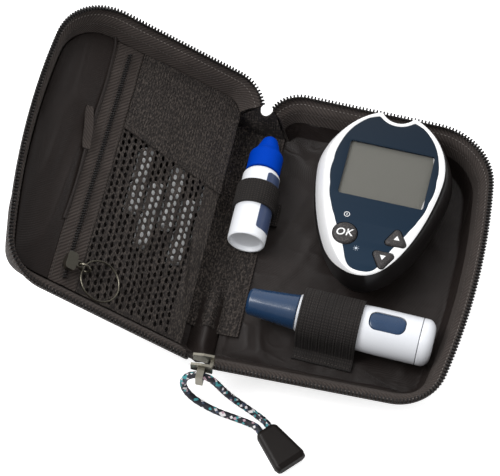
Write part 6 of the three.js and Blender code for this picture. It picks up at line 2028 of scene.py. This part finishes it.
@dataclass(frozen=True)
class Pull:
    """The main zip's slider and its pull: a braided cord that ends in a moulded grip."""

    radius: float = 1.5
    weave: float = 5.6
    route: tuple = (
        (26.7, -84.2, 3.1), (24.5, -82.15, 2.9), (20.8, -80.6, 2.0), (14.5, -79.3, 1.7), (8.0, -78.2, 1.7),
        (2.0, -76.6, 1.9), (-3.0, -75.3, 3.6), (-6.6, -74.2, 7.2), (-8.1, -73.4, 11.8), (-7.2, -72.9, 16.6),
        (-4.6, -72.7, 19.9), (-1.0, -72.6, 21.0), (2.6, -72.6, 19.9), (5.4, -72.7, 16.9), (8.0, -72.7, 12.4),
        (11.0, -72.7, 7.8), (14.6, -73.1, 4.3), (18.8, -74.2, 2.3), (23.4, -76.3, 2.0), (27.5, -78.95, 2.9),
        (29.7, -81.0, 3.1),
    )

    def line(self, steps: int = 14) -> np.ndarray:
        """The cord's line: a centripetal Catmull-Rom curve through the route's points."""
        knots = np.array(self.route)
        ends = np.vstack([2 * knots[0] - knots[1], knots, 2 * knots[-1] - knots[-2]])
        gap = np.linalg.norm(np.diff(ends, axis=0), axis=1) ** 0.5
        time = np.r_[0, np.cumsum(gap)]
        pieces = []
        for k in range(1, len(ends) - 2):
            t0, t1, t2, t3 = time[k - 1:k + 3]
            p0, p1, p2, p3 = ends[k - 1:k + 3]
            t = np.linspace(t1, t2, steps, endpoint=False)[:, None]
            a1 = (t1 - t) / (t1 - t0) * p0 + (t - t0) / (t1 - t0) * p1
            a2 = (t2 - t) / (t2 - t1) * p1 + (t - t1) / (t2 - t1) * p2
            a3 = (t3 - t) / (t3 - t2) * p2 + (t - t2) / (t3 - t2) * p3
            b1 = (t2 - t) / (t2 - t0) * a1 + (t - t0) / (t2 - t0) * a2
            b2 = (t3 - t) / (t3 - t1) * a2 + (t - t1) / (t3 - t1) * a3
            pieces.append((t2 - t) / (t2 - t1) * b1 + (t - t1) / (t2 - t1) * b2)
        return np.vstack([*pieces, knots[-1:]])

    def build(self, frame: dict) -> None:
        path = self.line()
        length = np.r_[0, np.cumsum(np.linalg.norm(np.diff(path, axis=0), axis=1))]
        turn = np.arange(24) * FULL_TURN / 24
        phase = length[:, None] / self.weave * FULL_TURN
        swell = 0.06 * np.cos(4 * turn + phase) * np.cos(4 * turn - phase) - 0.05
        piece = tube_piece("pull_braid", path, self.radius, BASE, BRAID, (0.0, 1.0, 0.0), 24, False, swell)
        dress(piece, "zip_pull", "braided_cord", "pull_cord")
        LOG.info("the cord is %.1f mm long", length[-1])
        finish_node(frame, PULL_PLASTIC, "pull_end")
        finish_node(frame, SLIDER_METAL, "zip_slider")
        soften(frame, 0.7, "pull_end")
        soften(frame, 0.3, "zip_slider")


@dataclass(frozen=True)
class Studio:
    """The camera at the photograph's angle, the pale floor, the world and the lamps."""

    azimuth: float = math.radians(11.38)
    elevation: float = math.radians(59.8)
    roll: float = math.radians(0.69)
    distance: float = 840.38
    lens: float = 139.26
    shift: tuple = (0.0212, 0.0259)
    floor_reach: float = 3.0
    floor_level: float = -0.0003
    floor_glow: float = 0.62
    world_glow: float = 0.62

    def camera(self) -> None:
        """Places the camera by its azimuth, elevation and roll about the case's hinge."""
        a, e = self.azimuth, self.elevation
        back = Vector((math.sin(a) * math.cos(e), -math.cos(a) * math.cos(e), math.sin(e)))
        right = Vector((0, 0, 1)).cross(back).normalized()
        up = back.cross(right)
        c, s = math.cos(self.roll), math.sin(self.roll)
        across, above = right * c + up * s, up * c - right * s
        lens = bpy.data.cameras.new("camera")
        lens.lens, lens.sensor_width = self.lens, 36.0
        lens.shift_x, lens.shift_y = self.shift
        lens.clip_start, lens.clip_end = 0.01, 20.0
        holder = linked("camera", lens)
        place = Vector(row(*(back * self.distance)))
        columns = [list(across), list(above), list(back)]
        rows = [[column[r] for column in columns] + [place[r]] for r in range(3)]
        holder.matrix_world = Matrix([*rows, [0, 0, 0, 1]])
        bpy.context.scene.camera = holder

    def floor(self) -> None:
        """Lays a wide plain floor, which the camera sees as white where no shadow falls."""
        mesh = bpy.data.meshes.new("studio_floor")
        corners = [(x * self.floor_reach, y * self.floor_reach, self.floor_level)
                   for x, y in ((-1, -1), (1, -1), (1, 1), (-1, 1))]
        mesh.from_pydata(corners, [], [(0, 1, 2, 3)])
        floor = linked("studio_floor", mesh)
        material = bpy.data.materials.new("studio_paper")
        nodes = Nodes(material)
        paper = nodes.add("BsdfDiffuse", {"Color": (0.9, 0.9, 0.9, 1)})
        share = nodes.math("MULTIPLY", nodes.add("LightPath").outputs["Is Camera Ray"], self.floor_glow)
        glow = nodes.add("Emission", {"Color": (1, 1, 1, 1), "Strength": share})
        both = nodes.add("AddShader", {0: paper.outputs[0], 1: glow.outputs[0]})
        nodes.add("OutputMaterial", {0: both.outputs[0]})
        mesh.materials.append(material)

    def world(self) -> None:
        """Lights from all round: white where the camera looks past the floor, and for reflections
        bright above and to the left, and dark low down and to the right."""
        world = bpy.data.worlds.new("studio")
        bpy.context.scene.world = world
        nodes = Nodes(world)
        seen = nodes.add("LightPath").outputs
        parts = nodes.add("SeparateXYZ", {0: nodes.add("TexCoord").outputs["Generated"]}).outputs
        slope = 0.0
        for axis, weight in (("X", -0.70), ("Y", 0.35), ("Z", 0.07)):
            slope = nodes.math("ADD", slope, nodes.math("MULTIPLY", parts[axis], weight))
        mirror = nodes.mapped(slope, (-0.41, 0.75), (0.04, 1.2))
        plain = nodes.add("Mix", {0: seen["Is Glossy Ray"], 2: self.world_glow, 3: mirror}, data_type="FLOAT")
        straight = nodes.math("MAXIMUM", seen["Is Camera Ray"], seen["Is Transmission Ray"])
        final = nodes.add("Mix", {0: straight, 2: plain.outputs[0], 3: 1.0}, data_type="FLOAT")
        glow = nodes.add("Background", {"Color": (1, 1, 1, 1), "Strength": final.outputs[0]})
        nodes.add("OutputWorld", {0: glow.outputs[0]})

    def lamps(self) -> None:
        """Hangs three soft lamps: a large one above to the left, a lower one behind, a weak one right."""
        for name, place, size, power in (
            ("key_lamp", (-0.55, -0.15, 0.75), 0.5, 5.5), ("rear_lamp", (0.1, 0.8, 0.7), 0.7, 4.0),
            ("side_lamp", (0.8, -0.3, 0.55), 0.4, 1.2),
        ):
            lamp = bpy.data.lights.new(name, "AREA")
            lamp.energy, lamp.size = power, size
            holder = linked(name, lamp)
            holder.location = place
            holder.rotation_euler = (-Vector(place)).to_track_quat("-Z", "Y").to_euler()
            holder.visible_glossy = name == "key_lamp"

    def build(self) -> None:
        """Sets the stage."""
        self.camera()
        self.floor()
        self.world()
        self.lamps()
        bpy.context.scene.view_settings.view_transform = "Standard"


def main() -> None:
    """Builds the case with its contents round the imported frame."""
    logging.basicConfig(level=logging.INFO, format="%(name)s: %(message)s")
    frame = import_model()
    Studio().build()
    Pull().build(frame)
    Half("base", "case_base", BASE, 1.0, SPINE_START).build()
    Half("lid", "case_lid", LID, -1.0, LID_CHAIN_START).build()
    Spine().build()
    Meter().build(frame)
    Vial().build(frame)
    Lancer().build(frame)
    Pocket().build(frame)
    Rings().build()


if __name__ == "__main__":
    main()
